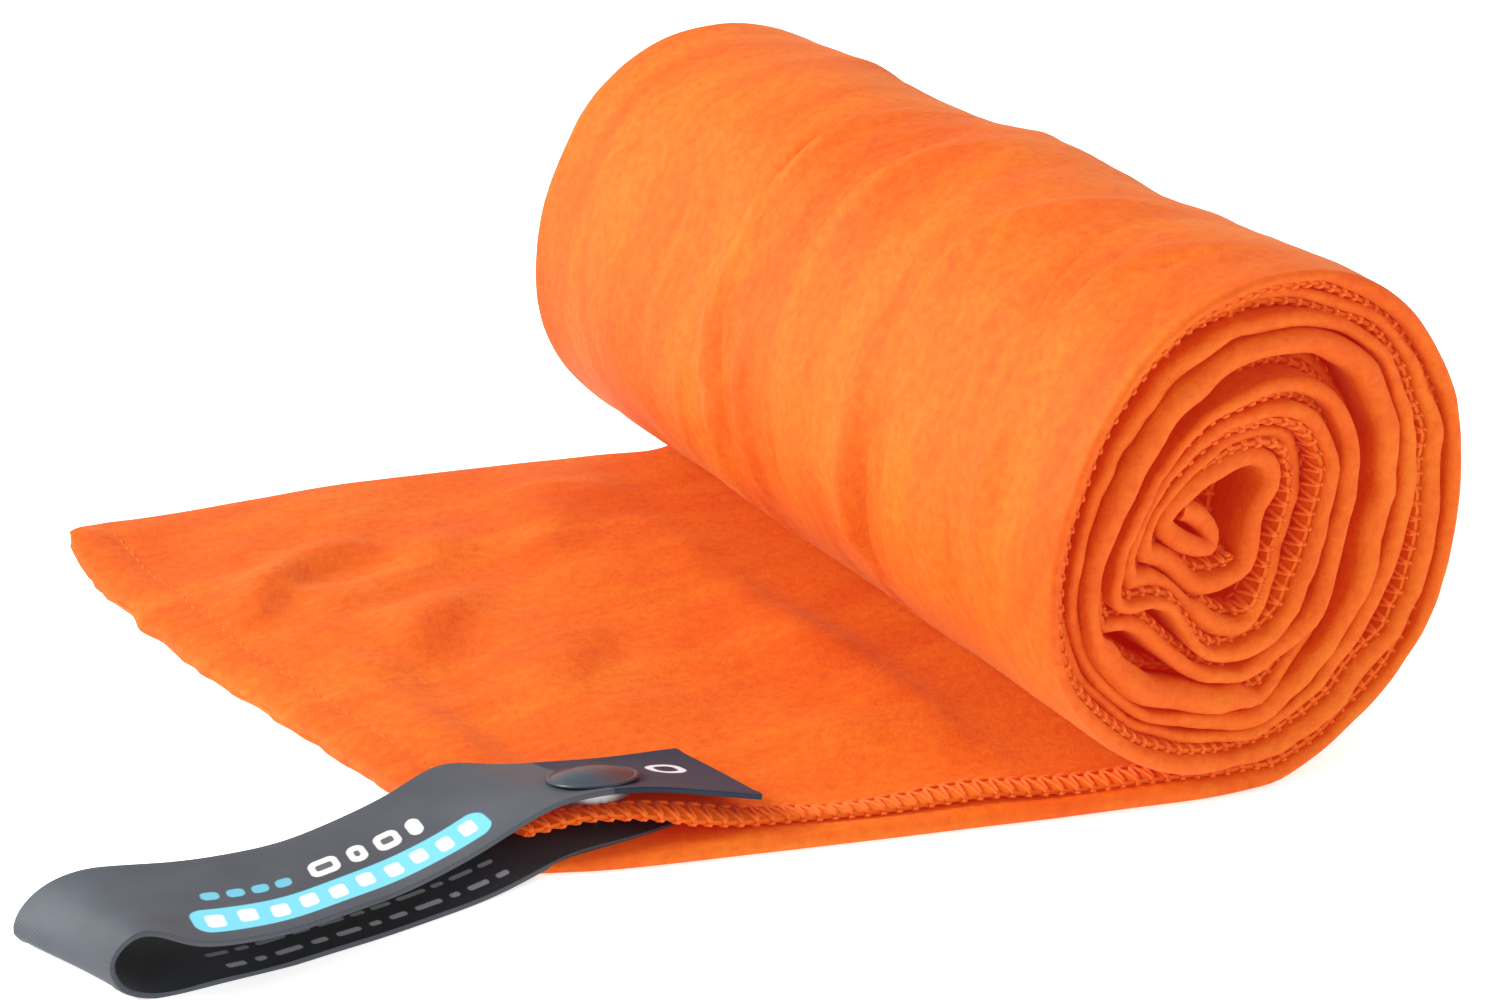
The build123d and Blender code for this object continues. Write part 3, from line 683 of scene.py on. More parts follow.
def suede(name, base=(0.645, 0.129, 0.0045), grain=1.0):
    """Brushed microfibre: a fine short nap, with brush marks and a soft sheen."""
    mt, nt, bs = new_mat(name)
    v = coord(nt)
    fine = noise_tex(nt, v, 2600, 2.0, .6)
    mid = noise_tex(nt, v, 620, 3.0, .6)
    brush = noise_tex(nt, coord(nt, (18, 60, 18), (0.2, 0.1, 0.35)), 1.0, 5.0, .62, .8)
    a = tuple(min(1.0, c * k) for c, k in zip(base, (1.02, 1.27, 1.6)))
    d = tuple(c * k for c, k in zip(base, (0.95, 0.78, 0.60)))
    tone = ramp(nt, brush, [(0.36, d), (0.51, base), (0.66, a)])
    speck = ramp(nt, mid, [(0.30, (.90, .80, .78)), (.5, (1, 1, 1)), (.70, (1.0, 1.18, 1.3))])
    col = mix(nt, 1.0, tone, speck, "MULTIPLY")
    nt.links.new(col, bs.inputs["Base Color"])
    bs.inputs["Roughness"].default_value = .66
    bs.inputs["Specular IOR Level"].default_value = .22
    bs.inputs["Sheen Weight"].default_value = .16
    bs.inputs["Sheen Roughness"].default_value = .42
    bs.inputs["Sheen Tint"].default_value = (1.0, .60, .24, 1)
    # painted light: the cloth glows a faint red of its own, standing in for the red light bounced between the orange
    # layers, which fills the folds
    bs.inputs["Emission Color"].default_value = (1.0, .030, .014, 1)
    bs.inputs["Emission Strength"].default_value = .155
    b1 = bump(nt, bs, mid, .36 * grain, .0006)
    b2 = bump(nt, bs, fine, .42 * grain, .00022, b1)
    # thin cloth lets some light through
    tr = node(nt, "ShaderNodeBsdfTranslucent")
    tr.inputs["Color"].default_value = (.80, .105, .007, 1)
    ms = node(nt, "ShaderNodeMixShader")
    ms.inputs[0].default_value = .20
    nt.links.new(b2, tr.inputs["Normal"])
    nt.links.new(bs.outputs[0], ms.inputs[1])
    nt.links.new(tr.outputs[0], ms.inputs[2])
    out = [n for n in nt.nodes if n.bl_idname == "ShaderNodeOutputMaterial"][0]
    nt.links.new(ms.outputs[0], out.inputs[0])
    return mt


def thread_mat(name, base):
    mt, nt, bs = new_mat(name)
    v = coord(nt)
    n = noise_tex(nt, v, 1500, 2.0, .5)
    col = ramp(nt, n, [(0.3, tuple(c * .82 for c in base)), (.7, tuple(min(1, c * 1.1) for c in base))])
    nt.links.new(col, bs.inputs["Base Color"])
    w = node(nt, "ShaderNodeTexWave")
    w.inputs["Scale"].default_value = 900
    nt.links.new(v, w.inputs["Vector"])
    bump(nt, bs, w.outputs["Fac"], .25, .0001)
    bs.inputs["Roughness"].default_value = .78
    bs.inputs["Specular IOR Level"].default_value = .2
    bs.inputs["Sheen Weight"].default_value = .08
    # painted light: the orange thread glows the same faint red, standing in for light bounced in the folds
    if base[0] > .5:
        bs.inputs["Emission Color"].default_value = (1.0, .030, .014, 1)
        bs.inputs["Emission Strength"].default_value = .16
    return mt


M_CLOTH = suede("suede_microfibre")
M_THREAD = thread_mat("overlock_thread", (0.66, 0.130, 0.008))
M_GREY = thread_mat("tape_thread", (0.045, 0.047, 0.052))

# ------------------------------------------------------------------ build the cloth
thick = C / 2


def ensure_uv(ob, uv):
    me = ob.data
    lay = me.uv_layers.new(name="strip")
    vi = np.empty(len(me.loops), np.int32)
    me.loops.foreach_get("vertex_index", vi)
    lay.data.foreach_set("uv", uv[vi].astype(np.float32).ravel())


def cloth_piece(name, G, N, lo, hi):
    V, F, NN, _ = shell(G, N, halves(G, None), lo, hi)
    return mesh_object(name, P3(V), F, M_CLOTH, True, NN)


# outer turn (dense) with the flap before it, as one grid along the strip
p_rows = np.concatenate([np.linspace(1, .965, 9), np.linspace(.965, 0, 72)[1:-1]])
Gf, layf = flap(p_rows)
s_dense = np.arange(0, 262, 1.7)
Gr, layr = strip(s_dense, True)
Gf2, Gr2, lay2 = Gf, Gr, layf
Gall = np.concatenate([Gf2, Gr2])
# ease the rows on both sides of the join
j = len(Gf2)
for _ in range(6):
    A = Gall[j - 5:j + 5].copy()
    Gall[j - 4:j + 4] = (A[:-2] + 2 * A[1:-1] + A[2:]) / 4
Nall = grid_normals(Gall)
rowx = Gall[:, 100, 0]


def row_at(x):
    return int(np.argmin(np.abs(Gf2[:, 60, 0] - x)))


r1, r2 = row_at(-52.5), row_at(-29.5)
ob_c = cloth_piece("cloth_flap_end", Gall, Nall, 0, r1 + 1)
ob_b = cloth_piece("cloth_flap_middle", Gall, Nall, r1, r2 + 1)
r3 = j + 7
ob_r = cloth_piece("cloth_flap_root", Gall, Nall, r2, r3 + 1)
ob_a = cloth_piece("cloth_roll_outer_turn", Gall, Nall, r3, len(Gall))
s_in = np.arange(s_dense[-1], S_END, 1.9)
Gi, layi = strip(s_in, False)
Ni = grid_normals(Gi)
ob_i = cloth_piece("cloth_roll_inner_turns", Gi, Ni, 0, len(Gi))


# ------------------------------------------------------------------ overlock
def tube(P, r, sides=5, closed=False):
    """A round thread along the points P (n, 3)."""
    P = np.asarray(P, float)
    T = np.gradient(P, axis=0)
    T /= np.maximum(np.linalg.norm(T, axis=1, keepdims=True), 1e-9)
    ref = np.array([0.31, 0.52, 0.79])
    U = np.cross(T, ref)
    U /= np.maximum(np.linalg.norm(U, axis=1, keepdims=True), 1e-9)
    W = np.cross(T, U)
    a = np.linspace(0, 2 * math.pi, sides, endpoint=False)
    R = np.broadcast_to(np.asarray(r, float), (len(P),))[:, None, None]
    V = P[:, None, :] + R * (np.cos(a)[None, :, None] * U[:, None, :] + np.sin(a)[None, :, None] * W[:, None, :])
    n = len(P)
    idx = np.arange(n * sides).reshape(n, sides)
    nx = np.roll(idx, -1, axis=1)
    F = np.stack([idx[:-1].ravel(), nx[:-1].ravel(), nx[1:].ravel(), idx[1:].ravel()], 1)
    caps = []
    for e, fl in ((0, True), (n - 1, False)):
        c = idx[e]
        q = [c[0], c[1], c[2], c[3]] if sides >= 4 else None
        caps.append(q[::-1] if fl else q)
        if sides == 5:
            t = [c[0], c[3], c[4], c[4]]
    return V.reshape(-1, 3), F


def overlock(name, E, I, Nn, width=4.2, pitch=2.4, r=0.33):
    """Overlock stitching over a cloth edge. E: edge points, I: unit vectors from the
    edge into the cloth, Nn: unit normals of the cloth, all (n, 3), working frame mm."""
    d = np.concatenate([[0], np.cumsum(np.linalg.norm(np.diff(E, axis=0), axis=1))])
    tot = d[-1]
    k = max(2, int(round(tot / pitch)))
    pit = tot / k

    def at(u):
        u = np.clip(u, 0, tot)
        e = np.stack([np.interp(u, d, E[:, c]) for c in range(3)], -1)
        i = np.stack([np.interp(u, d, I[:, c]) for c in range(3)], -1)
        n = np.stack([np.interp(u, d, Nn[:, c]) for c in range(3)], -1)
        i /= np.linalg.norm(i, axis=-1, keepdims=True)
        n /= np.linalg.norm(n, axis=-1, keepdims=True)
        return e, i, n
    tk = 0.60 + r * 0.30
    Vs, Fs, off = [], [], 0
    # looper threads, one on each face, that meet round the edge
    for side in (1, -1):
        # per stitch: needle point -> edge loop -> needle point
        prof = [(0.00, 1.0, 0.35), (0.14, .78, .95), (0.30, .40, 1.0), (0.42, .06, .80), (0.47, -.06, .30), (0.53, -.06, .30), (0.58, .06, .80), (0.70, .40, 1.0), (0.86, .78, .95)]
        us, ws, hs = [], [], []
        for q in range(k):
            for f, w, hgt in prof:
                us.append((q + f) * pit)
                ws.append(w * width)
                hs.append(hgt)
        us, ws, hs = np.array(us), np.array(ws), np.array(hs)
        e, i, n = at(us)
        jit = 1 + 0.05 * np.sin(us * 12.9)
        P = e + i * (ws * jit)[:, None] + n * (side * hs * tk)[:, None]
        Vt, Ft = tube(P, r)
        Vs.append(Vt)
        Fs.append(Ft + off)
        off += len(Vt)
    # needle thread: a stitch between each pair of needle points, on both faces
    for side in (1, -1):
        us, ws, hs = [], [], []
        for q in range(k):
            for f, hgt in [(0.0, .20), (.22, .75), (.5, .85), (.78, .75)]:
                us.append((q + f) * pit)
                ws.append(width)
                hs.append(hgt)
        us, ws, hs = np.array(us), np.array(ws), np.array(hs)
        e, i, n = at(us)
        P = e + i * ws[:, None] + n * (side * hs * tk)[:, None]
        Vt, Ft = tube(P, r * .95)
        Vs.append(Vt)
        Fs.append(Ft + off)
        off += len(Vt)
    return mesh_object(name, P3(np.concatenate(Vs)), np.concatenate(Fs), M_THREAD)


def edge_of(G, N, col, inner, lo, hi):
    E = G[lo:hi, col]
    I = G[lo:hi, inner] - E
    I = I / np.maximum(np.linalg.norm(I, axis=1, keepdims=True), 1e-9)
    return E, I, N[lo:hi, col]


def stitches(name, P, Nn, pitch=2.7, length=2.0, r=.16, mat=None):
    """A row of needle stitches along the line P, each a short thread that dips into the cloth at both ends."""
    d = np.concatenate([[0], np.cumsum(np.linalg.norm(np.diff(P, axis=0), axis=1))])
    Vs, Fs, off = [], [], 0
    for u0 in np.arange(.6, d[-1] - length, pitch):
        us = np.linspace(u0, u0 + length, 6)
        hs = np.array([-.35, 0, .06, .06, 0, -.35])
        q = np.stack([np.interp(us, d, P[:, c]) for c in range(3)], -1)
        n = np.stack([np.interp(us, d, Nn[:, c]) for c in range(3)], -1)
        V, F = tube(q + n * hs[:, None], r)
        Vs.append(V)
        Fs.append(F + off)
        off += len(V)
    return mesh_object(name, P3(np.concatenate(Vs)), np.concatenate(Fs), mat or M_THREAD)


last = Gall.shape[1] - 1
pieces_of = {"c": [], "b": [], "r": [], "a": [], "i": []}
for key, lo, hi, nm in (("c", 0, r1 + 1, "flap_end"), ("b", r1, r2 + 1, "flap_middle"),
                        ("r", r2, r3 + 1, "flap_root"), ("a", r3, len(Gall), "outer_turn")):
    pieces_of[key].append(overlock("overlock_near_" + nm, *edge_of(Gall, Nall, 0, 3, lo, hi)))
li = Gi.shape[1] - 1
pieces_of["i"].append(overlock("overlock_near_inner", *edge_of(Gi, Ni, 0, 3, 0, len(Gi))))
# the needle line along the short end, on the top and on the underside
i3 = [j for j in range(4, len(lay2)) if lay2[j] == 3]
i1 = [j for j in range(len(lay2)) if lay2[j] == 1]
prow = int(np.argmin(np.abs((1 - p_rows) * 105 - 8.2)))
up3 = Nall[prow, i3] * np.sign(Nall[prow, i3][:, 2:3])
keep = Gall[prow, i3][:, 1] > -36
pieces_of["c"].append(stitches("needle_line_short_end_top", (Gall[prow, i3] + up3 * (C / 2 + .02))[keep][::-1], up3[keep][::-1]))
dn1 = -Nall[prow, i1] * np.sign(Nall[prow, i1][:, 2:3])
pieces_of["c"].append(stitches("needle_line_short_end_bottom", Gall[prow, i1] + dn1 * (C / 2 - .1), dn1))

# ------------------------------------------------------------------ the tape
LO = np.array([-112.0, -41.5, 0.0])
LU = np.array([math.cos(math.radians(3.5)), math.sin(math.radians(3.5)), 0])
LN = np.array([LU[1], -LU[0], 0])                       # towards the near edge
FO = np.array([-101.5, -42.5, 5.08])
FX = np.array([0.9903, -0.1392, 0.0])
FN = np.array([-0.1361, -0.9686, 0.2079])
FU = np.array([0.0289, 0.2059, 0.9782])
HW = 12.5


def lsec(s, z, near=0.0, nz=0.0, far=0.0, fz=0.0):
    c = LO + LU * s + np.array([0, 0, z])
    return c + LN * (HW + near) + np.array([0, 0, nz]), c - LN * (HW + far) + np.array([0, 0, fz])


def fsec(s, up=2.9, nz=0.0, fz=0.0):
    c = FO + FX * s + FU * up
    return c + FN * HW + np.array([0, 0, nz]), c - FN * HW + np.array([0, 0, fz])


SEC = [lsec(36, 2.1), lsec(28, 2.15), lsec(20, 2.15), lsec(12, 2.1)] + [
    # near edge, far edge
    ((-106.0, -54.6, 1.5), (-107.4, -29.6, 1.6)), ((-112, -55.8, .85), (-114, -30.6, .9)), ((-118.1, -56.8, .6), (-120.4, -31.6, .6)),
    ((-131, -58.4, .55), (-134, -33.6, .6)), ((-143.4, -59.2, .55), (-147, -34.6, .6)), ((-154.8, -58.8, .55), (-160.5, -34.8, .6)),
    ((-160.8, -58.6, .6), (-169, -35.0, .7)), ((-164.8, -57.8, .95), (-173.4, -35.2, 1.1)), ((-167.6, -56.6, 2.2), (-175.4, -35.4, 2.3)),
    ((-168.5, -55.8, 4.4), (-174.6, -34.6, 4.1)), ((-167.9, -56.0, 6.8), (-172.2, -34.2, 6.3)), ((-166.6, -57.0, 8.8), (-169.4, -34.6, 7.9)),
    ((-164.6, -58.2, 10.0), (-165.8, -35.4, 8.8)), ((-162.3, -59.8, 9.9), (-162.3, -36.2, 8.8)), ((-159.1, -61.5, 8.9), (-156.8, -37.4, 8.3)),
    ((-153.1, -62.7, 8.0), (-149.4, -38.5, 7.6)), ((-145.2, -62.3, 7.2), (-141.5, -38.4, 6.9)), ((-136.1, -60.4, 6.7), (-133.0, -36.3, 6.2)),
    ((-125.8, -58.1, 6.5), (-123.8, -33.1, 5.9)), ((-117.3, -55.6, 6.8), (-115.4, -30.4, 6.2)), ((-107.6, -52.3, 7.8), (-107.8, -27.8, 7.0)),
    ((-101.2, -51.6, 9.2), (-103.9, -28.4, 6.8)), ((-96.1, -52.0, 10.0), (-99.0, -29.3, 5.6)), ((-91.8, -53.2, 10.5), (-94.2, -30.1, 4.9)),
    ((-87.1, -54.7, 10.4), (-89.2, -31.2, 4.6)), ((-82.5, -56.6, 9.9), (-84.0, -32.5, 4.5)), ((-78.1, -58.1, 9.0), (-79.1, -33.8, 4.5)),
    ((-73.3, -59.3, 7.8), (-74.4, -35.1, 4.5)), ((-70.0, -59.8, 6.9), (-71.6, -36.1, 4.6))]
SEC = np.array(SEC)                                     # (k, 2, 3)
mid = SEC.mean(1)
tk = np.concatenate([[0], np.cumsum(np.linalg.norm(np.diff(mid, axis=0), axis=1))])
TL = np.arange(0, tk[-1] + .01, 0.9)
NP, FP = nspline(tk, SEC[:, 0], TL), nspline(tk, SEC[:, 1], TL)
across = np.array([0, .012, .04, .09, .16, .25, .36, .5, .64, .75, .84, .91, .96, .988, 1])
GT = NP[:, None, :] * (1 - across)[None, :, None] + FP[:, None, :] * across[None, :, None]
NTt = grid_normals(GT)
if NTt[5, 7, 2] < 0:
    pass
# a slight cupping across, and a soft ripple along the near edge
nT = Noise(31, 24)
cup = (0.16 * (2 * (across - .5)) ** 2)[None, :] + 0.10 * nT(TL[:, None] * 1.0, across[None, :] * 25)
GT = GT + NTt * cup[..., None]
NTt = grid_normals(GT)
half = np.interp(across, [0, .03, .06, .09, .5, .91, .94, .97, 1], [.40, .56, .56, .43, .42, .43, .56, .56, .40])
halfg = np.broadcast_to(half[None, :], GT.shape[:2])


def tl_of(i):
    return tk[i]


# distances along the tape of its key places
T_SEWN0 = tk[3]
T_BEND0, T_BEND1 = tk[10], tk[17]
T_UP = tk[21]
T_CORNER = tk[24]
T_FREE16 = (tk[28] + tk[29]) / 2
T_TAB, T_END = tk[29] - .8, tk[-1]
T_DARK = tk[27] + .2


def trow(t):
    return int(np.argmin(np.abs(TL - t)))


def tape_mat():
    mt, nt, bs = new_mat("tape_satin")
    uv = uvcoord(nt)
    sep = node(nt, "ShaderNodeSeparateXYZ")
    nt.links.new(uv, sep.inputs[0])
    geo = node(nt, "ShaderNodeAttribute", attribute_name="face_side")
    # weave: fine diagonal ribs
    w = node(nt, "ShaderNodeTexWave", wave_type="BANDS", bands_direction="DIAGONAL")
    w.inputs["Scale"].default_value = 0.9
    w.inputs["Distortion"].default_value = .6
    nt.links.new(uv, w.inputs["Vector"])
    v = coord(nt)
    n = noise_tex(nt, v, 700, 3.0, .6)
    big = noise_tex(nt, v, 60, 3.0, .5)
    outside = ramp(nt, big, [(0.3, (.054, .060, .071)), (.7, (.078, .086, .101))])
    inside = ramp(nt, big, [(0.3, (.022, .025, .030)), (.7, (.036, .040, .048))])
    tabc = ramp(nt, big, [(0.3, (.009, .018, .034)), (.7, (.016, .029, .052))])
    base = mix(nt, geo.outputs["Fac"], inside, outside)

    def box_mask(x0, x1, y0, y1, r=1.6, soft=.25):
        """1 inside a rounded rectangle in strip millimetres (x along, y across)."""
        cx, cy, hx, hy = (x0 + x1) / 2, (y0 + y1) / 2, (x1 - x0) / 2 - r, (y1 - y0) / 2 - r

        def m(op, a, b=None, c=None):
            q = node(nt, "ShaderNodeMath", operation=op)
            for sck, val in zip(q.inputs, (a, b, c)):
                if val is None:
                    continue
                if hasattr(val, "links"):
                    nt.links.new(val, sck)
                else:
                    sck.default_value = val
            return q.outputs[0]
        dx = m("MAXIMUM", m("SUBTRACT", m("ABSOLUTE", m("SUBTRACT", sep.outputs[0], cx)), hx), 0.0)
        dy = m("MAXIMUM", m("SUBTRACT", m("ABSOLUTE", m("SUBTRACT", sep.outputs[1], cy)), hy), 0.0)
        d = m("SQRT", m("ADD", m("MULTIPLY", dx, dx), m("MULTIPLY", dy, dy)))
        e = m("DIVIDE", m("SUBTRACT", r + soft / 2, d), soft)
        q = node(nt, "ShaderNodeClamp")
        nt.links.new(e, q.inputs[0])
        return q.outputs[0]

    def both(a, b, op="MULTIPLY"):
        q = node(nt, "ShaderNodeMath", operation=op)
        nt.links.new(a, q.inputs[0])
        nt.links.new(b, q.inputs[1])
        return q.outputs[0]
    # generic print on the outside: a pale blue bar of plain tiles along the near side, and two rows of plain dashes
    t0, t1 = T_BEND1 + 6, T_CORNER - 1
    bar = box_mask(t0, t1, 2.6, 9.4, 2.4)
    col = mix(nt, both(bar, geo.outputs["Fac"]), base, (.16, .55, .70))
    for k in range(10):
        x = t0 + 3.4 + k * (t1 - t0 - 6.8) / 9
        mk = box_mask(x - 1.35, x + 1.35, 4.0 + .5 * (k % 2), 7.6 + .5 * (k % 2), .8)
        col = mix(nt, both(mk, geo.outputs["Fac"]), col, (.72, .80, .84))
    for k, (x, l) in enumerate([(20, 5.2), (27, 3.2), (32, 4.4), (38, 2.6)]):
        st = box_mask(t0 + x, t0 + x + l, 11.6, 16.2, 1.5)
        si = box_mask(t0 + x + 1.1, t0 + x + l - 1.1, 13.1, 14.8, .5)
        col = mix(nt, both(st, geo.outputs["Fac"]), col, (.74, .75, .76))
        if l > 3:
            col = mix(nt, both(si, geo.outputs["Fac"]), col, (.10, .10, .11))
    for k in range(4):
        st = box_mask(t0 + 3 + k * 3.7, t0 + 5.6 + k * 3.7, 12.2, 14.6, .9)
        col = mix(nt, both(st, geo.outputs["Fac"]), col, (.13, .44, .58))
    # small pale marks on the inside, as a care print would sit
    inv = node(nt, "ShaderNodeMath", operation="SUBTRACT")
    inv.inputs[0].default_value = 1.0
    nt.links.new(geo.outputs["Fac"], inv.inputs[1])
    x = T_SEWN0 + 9
    for k, l in enumerate((2.2, 3.6, 1.6, 4.4, 2.8, 1.8, 3.8, 2.4, 4.0, 1.6, 3.0)):
        mk = box_mask(x, x + l, 2.3, 3.5, .5, .2)
        col = mix(nt, both(mk, inv.outputs[0]), col, (.42, .44, .47))
        mk = box_mask(x + .5, x + l + .9, 6.3, 7.3, .45, .2)
        col = mix(nt, both(mk, inv.outputs[0]), col, (.34, .36, .39))
        x += l + 1.5
    # the pull tab is darker, with one small plain ring on it
    tm = box_mask(T_DARK, T_END + 40, -10, 40, .2, .3)
    col = mix(nt, tm, col, tabc)
    ringo = box_mask(T_TAB + 3.4, T_TAB + 8.6, 11.6, 17.4, 2.4)
    ringi = box_mask(T_TAB + 4.5, T_TAB + 7.5, 12.7, 16.3, 1.3)
    col = mix(nt, both(ringo, geo.outputs["Fac"]), col, (.62, .64, .66))
    col = mix(nt, both(ringi, geo.outputs["Fac"]), col, (.014, .017, .028))
    nt.links.new(col, bs.inputs["Base Color"])
    bs.inputs["Roughness"].default_value = .55
    bs.inputs["Specular IOR Level"].default_value = .18
    bs.inputs["Sheen Weight"].default_value = .03
    b1 = bump(nt, bs, n, .12, .0003)
    bump(nt, bs, w.outputs["Fac"], .22, .00012, b1)
    return mt


M_TAPE = tape_mat()
width_mm = np.linalg.norm(FP - NP, axis=1).mean()


def tape_piece(name, t0, t1):
    lo, hi = trow(t0), trow(t1) + 1
    V, F, NN, total = shell(GT, NTt, halfg, lo, hi)
    ob = mesh_object(name, P3(V), F, M_TAPE, True, NN)
    m, n = hi - lo, GT.shape[1]
    uu = np.broadcast_to(TL[lo:hi, None], (m, n))
    vv = np.broadcast_to((across * 25.0)[None, :], (m, n))
    uv = np.stack([uu, vv], -1)
    flat = uv.reshape(-1, 2)
    ensure_uv(ob, np.concatenate([flat, flat] + [e for line in (uv[:, 0], uv[:, -1], uv[0], uv[-1]) for e in (line, line)]))
    side = np.concatenate([np.zeros(m * n), np.ones(m * n), np.full(total - 2 * m * n, 1.0 if OUT_IS_MINUS else 0.0)])
    at = ob.data.attributes.new("face_side", "FLOAT", "POINT")
    at.data.foreach_set("value", (side if OUT_IS_MINUS else 1 - side).astype(np.float32))
    return ob


# the shell's first face is along +N; at the top leg the outside points up
OUT_IS_MINUS = NTt[trow(T_UP), 7, 2] < 0
tp1 = tape_piece("tape_sewn_end_and_lower_leg", 0, T_BEND0)
tp2 = tape_piece("tape_bend", T_BEND0, T_BEND1)
tp3 = tape_piece("tape_upper_leg", T_BEND1, T_CORNER)
tp4 = tape_piece("tape_free_leg", T_CORNER, T_FREE16)
tp5 = tape_piece("tape_pull_tab", T_FREE16, T_END)

# ------------------------------------------------------------------ the snap
def lathe(name, prof, mat, origin, ax=FX, ay=FN, up=FU, n=96):
    """A turned piece: prof is (radius, height) from its middle bottom to its middle top."""
    prof = np.array(prof, float)
    a = np.linspace(0, 2 * math.pi, n, endpoint=False)
    V, F = [], []
    k = len(prof)
    for r, z in prof:
        for t in a:
            V.append(origin + ax * r * math.cos(t) + ay * r * math.sin(t) + up * z)
    for i in range(k - 1):
        for j in range(n):
            j2 = (j + 1) % n
            F.append((i * n + j, i * n + j2, (i + 1) * n + j2, (i + 1) * n + j))
    ob = mesh_object(name, P3(np.array(V)), np.array(F), mat)
    import bmesh
    bm = bmesh.new()
    bm.from_mesh(ob.data)
    bmesh.ops.remove_doubles(bm, verts=bm.verts, dist=1e-7)
    bmesh.ops.dissolve_degenerate(bm, dist=1e-7, edges=bm.edges)
    bmesh.ops.recalc_face_normals(bm, faces=bm.faces)
    bm.to_mesh(ob.data)
    bm.free()
    return ob


def plastic(name, base, rough, bumpy=.05, scale=900, metal=0.0):
    mt, nt, bs = new_mat(name)
    v = coord(nt)
    n = noise_tex(nt, v, scale, 4.0, .6)
    big = noise_tex(nt, v, 140, 3.0, .5)
    col = ramp(nt, big, [(.3, tuple(c * .85 for c in base)), (.7, tuple(min(1, c * 1.2) for c in base))])
    nt.links.new(col, bs.inputs["Base Color"])
    bs.inputs["Metallic"].default_value = metal
    rr = node(nt, "ShaderNodeMapRange")
    rr.inputs["To Min"].default_value = rough * .8
    rr.inputs["To Max"].default_value = rough * 1.3
    nt.links.new(n, rr.inputs[0])
    nt.links.new(rr.outputs[0], bs.inputs["Roughness"])
    bump(nt, bs, n, bumpy, .0001)
    return mt


M_CAP = plastic("snap_cap_enamel", (.016, .032, .048), .34)
M_METAL = plastic("snap_metal", (.42, .42, .43), .34, .08, 1400, 1.0)
sc = FO + FX * 11.2
dd = np.hypot(GT[..., 0] - sc[0], GT[..., 1] - sc[1]) + np.where(TL < T_CORNER, 99.0, 0.0)[:, None]
ci, cj = np.unravel_index(np.argmin(dd), dd.shape)
cup_n = NTt[ci, cj] * np.sign(NTt[ci, cj, 2])
c_at = GT[ci, cj] + cup_n * 0.40
cx_ = FX - cup_n * (FX @ cup_n)
cx_ /= np.linalg.norm(cx_)
cy_ = np.cross(cup_n, cx_)
cap_prof = [(0, 0), (6.3, 0), (6.75, .05), (6.92, .22), (6.92, .44), (6.75, .60), (6.5, .66), (6.32, .62), (6.2, .55), (6.05, .58), (5.8, .68)]
for r in np.linspace(5.4, 0, 14):
    cap_prof.append((r, 1.72 - (16 - math.sqrt(max(0, 16 ** 2 - r * r)))))
cap = lathe("snap_cap_dome", cap_prof, M_CAP, c_at, cx_, cy_, cup_n)
# stitching that holds the tape's sewn end
pts = []
rect = [(30, -9.5), (34.8, -9.5), (34.8, 9.5), (30, 9.5), (30, -9.5)]
k = 0
for (s0, w0), (s1, w1) in zip(rect[:-1], rect[1:]):
    n = max(2, int(math.hypot(s1 - s0, w1 - w0) / 1.2))
    for t in np.linspace(0, 1, n, endpoint=False):
        c = LO + LU * (s0 + (s1 - s0) * t) + LN * (w0 + (w1 - w0) * t)
        pts.append(c + np.array([0, 0, (2.72 if k % 2 else 1.5)]))
        k += 1
V, F = tube(np.array(pts), .24)
box_stitch = mesh_object("tape_box_stitch", P3(V), F, M_GREY)

# ------------------------------------------------------------------ bodies
def rowp(x, y, z):
    return tuple(P3(np.array([x, y, z], float)))


def bend(objs, p0, p1):
    for o in objs:
        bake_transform(o)


bend([ob_c] + pieces_of["c"], rowp(-54, 0, 2), rowp(-74, 0, 2))
bend([ob_b] + pieces_of["b"], rowp(-31.5, 0, 2), rowp(-50.5, 0, 2))
bend([ob_r] + pieces_of["r"], rowp(-11, 0, 4), rowp(-27.5, 0, 4))
for o in [ob_a, ob_i] + pieces_of["a"] + pieces_of["i"]:
    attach(o, "roll")
q0, q1 = LO + LU * 4, LO - LU * 12
bend([tp1], rowp(q0[0], q0[1], 2), rowp(q1[0], q1[1], 2))
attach(tp2, "loop")
q0, q1 = LO - LU * 12, LO + LU * 2
bend([tp3], rowp(q0[0], q0[1], 8), rowp(q1[0], q1[1], 8))
q0, q1 = FO - FX * 2, FO + FX * 5
bend([tp4], rowp(*q0), rowp(*q1))
q0, q1 = FO + FX * 19, FO + FX * 24
bend([tp5], rowp(*q0), rowp(*q1))
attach(cap, "free_end")
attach(box_stitch, "flap_c")

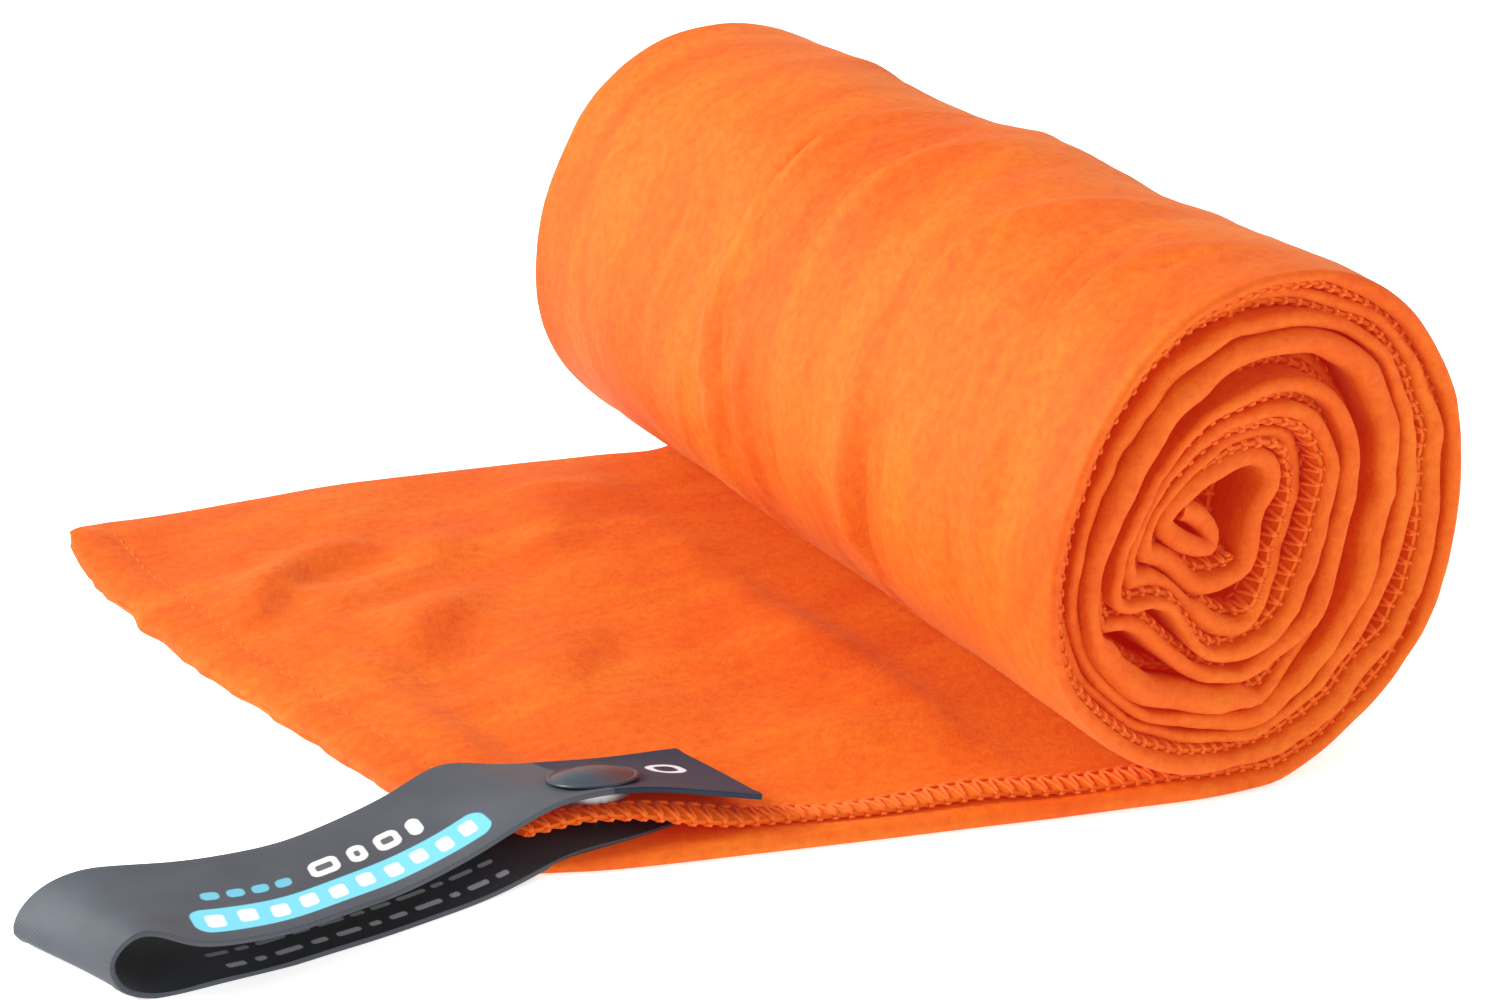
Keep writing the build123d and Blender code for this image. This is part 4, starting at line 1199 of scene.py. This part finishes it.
# ------------------------------------------------------------------ what stands for what
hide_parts("flap_outer")
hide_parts("flap_middle")
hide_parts("flap_inner")
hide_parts("towel_roll")
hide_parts("overlock_flap_outer", "overlock_short_end")
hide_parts("overlock_flap_middle")
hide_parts("overlock_flap_inner")
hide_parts("overlock_roll_near")
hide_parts("loop_sewn_end", "loop_lower_leg")
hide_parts("loop_bend")
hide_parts("loop_upper_leg", "loop_corner_span")
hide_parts("loop_free_leg")
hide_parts("pull_tab")
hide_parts("snap_cap")
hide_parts("tape_stitching")
for n in ("snap_socket", "snap_stud", "snap_post", "snap_spring"):
    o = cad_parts[n]
    o.data.materials.clear()
    o.data.materials.append(M_METAL)

# ------------------------------------------------------------------ studio
scn = bpy.context.scene
scn.view_settings.view_transform = "Standard"
cam_data = bpy.data.cameras.new("view")
cam_data.sensor_width = 36.0
cam_data.lens = 84.51
cam_data.clip_end = 20
cam = bpy.data.objects.new("view", cam_data)
scn.collection.objects.link(cam)
cam.location = (-0.225886, -0.457022, 0.243915)
cam.rotation_euler = (Vector((0.060466, 0.049804, 0)) - cam.location).to_track_quat("-Z", "Y").to_euler()
scn.camera = cam

fl = 6.0
floor = mesh_object("studio_floor", np.array([(-fl, -fl, 0), (fl, -fl, 0), (fl, fl, 0), (-fl, fl, 0)]), np.array([(0, 1, 2, 3)]), None, False)
mt, nt, bs = new_mat("studio_floor")
bs.inputs["Base Color"].default_value = (.93, .93, .93, 1)
bs.inputs["Emission Color"].default_value = (1, 1, 1, 1)
bs.inputs["Emission Strength"].default_value = .55
bs.inputs["Roughness"].default_value = .9
bs.inputs["Specular IOR Level"].default_value = .1
floor.data.materials.append(mt)

world = bpy.data.worlds.new("studio")
world.use_nodes = True
world.node_tree.nodes["Background"].inputs[0].default_value = (1, 1, 1, 1)
world.node_tree.nodes["Background"].inputs[1].default_value = 0.64
scn.world = world


def area(name, loc, to, size, power):
    d = bpy.data.lights.new(name, "AREA")
    d.shape = "RECTANGLE"
    d.size, d.size_y = size
    d.energy = power
    o = bpy.data.objects.new(name, d)
    scn.collection.objects.link(o)
    o.location = loc
    o.rotation_euler = (Vector(to) - Vector(loc)).to_track_quat("-Z", "Y").to_euler()
    return o


area("key", (-1.15, 0.62, 0.82), (0, 0, 0.03), (0.5, 0.5), 32)
area("fill", (0.7, -1.5, 0.7), (0, 0, 0.03), (1.4, 0.9), 11)
area("top", (0.1, 0.5, 1.7), (0, 0, 0.03), (1.0, 1.0), 4)
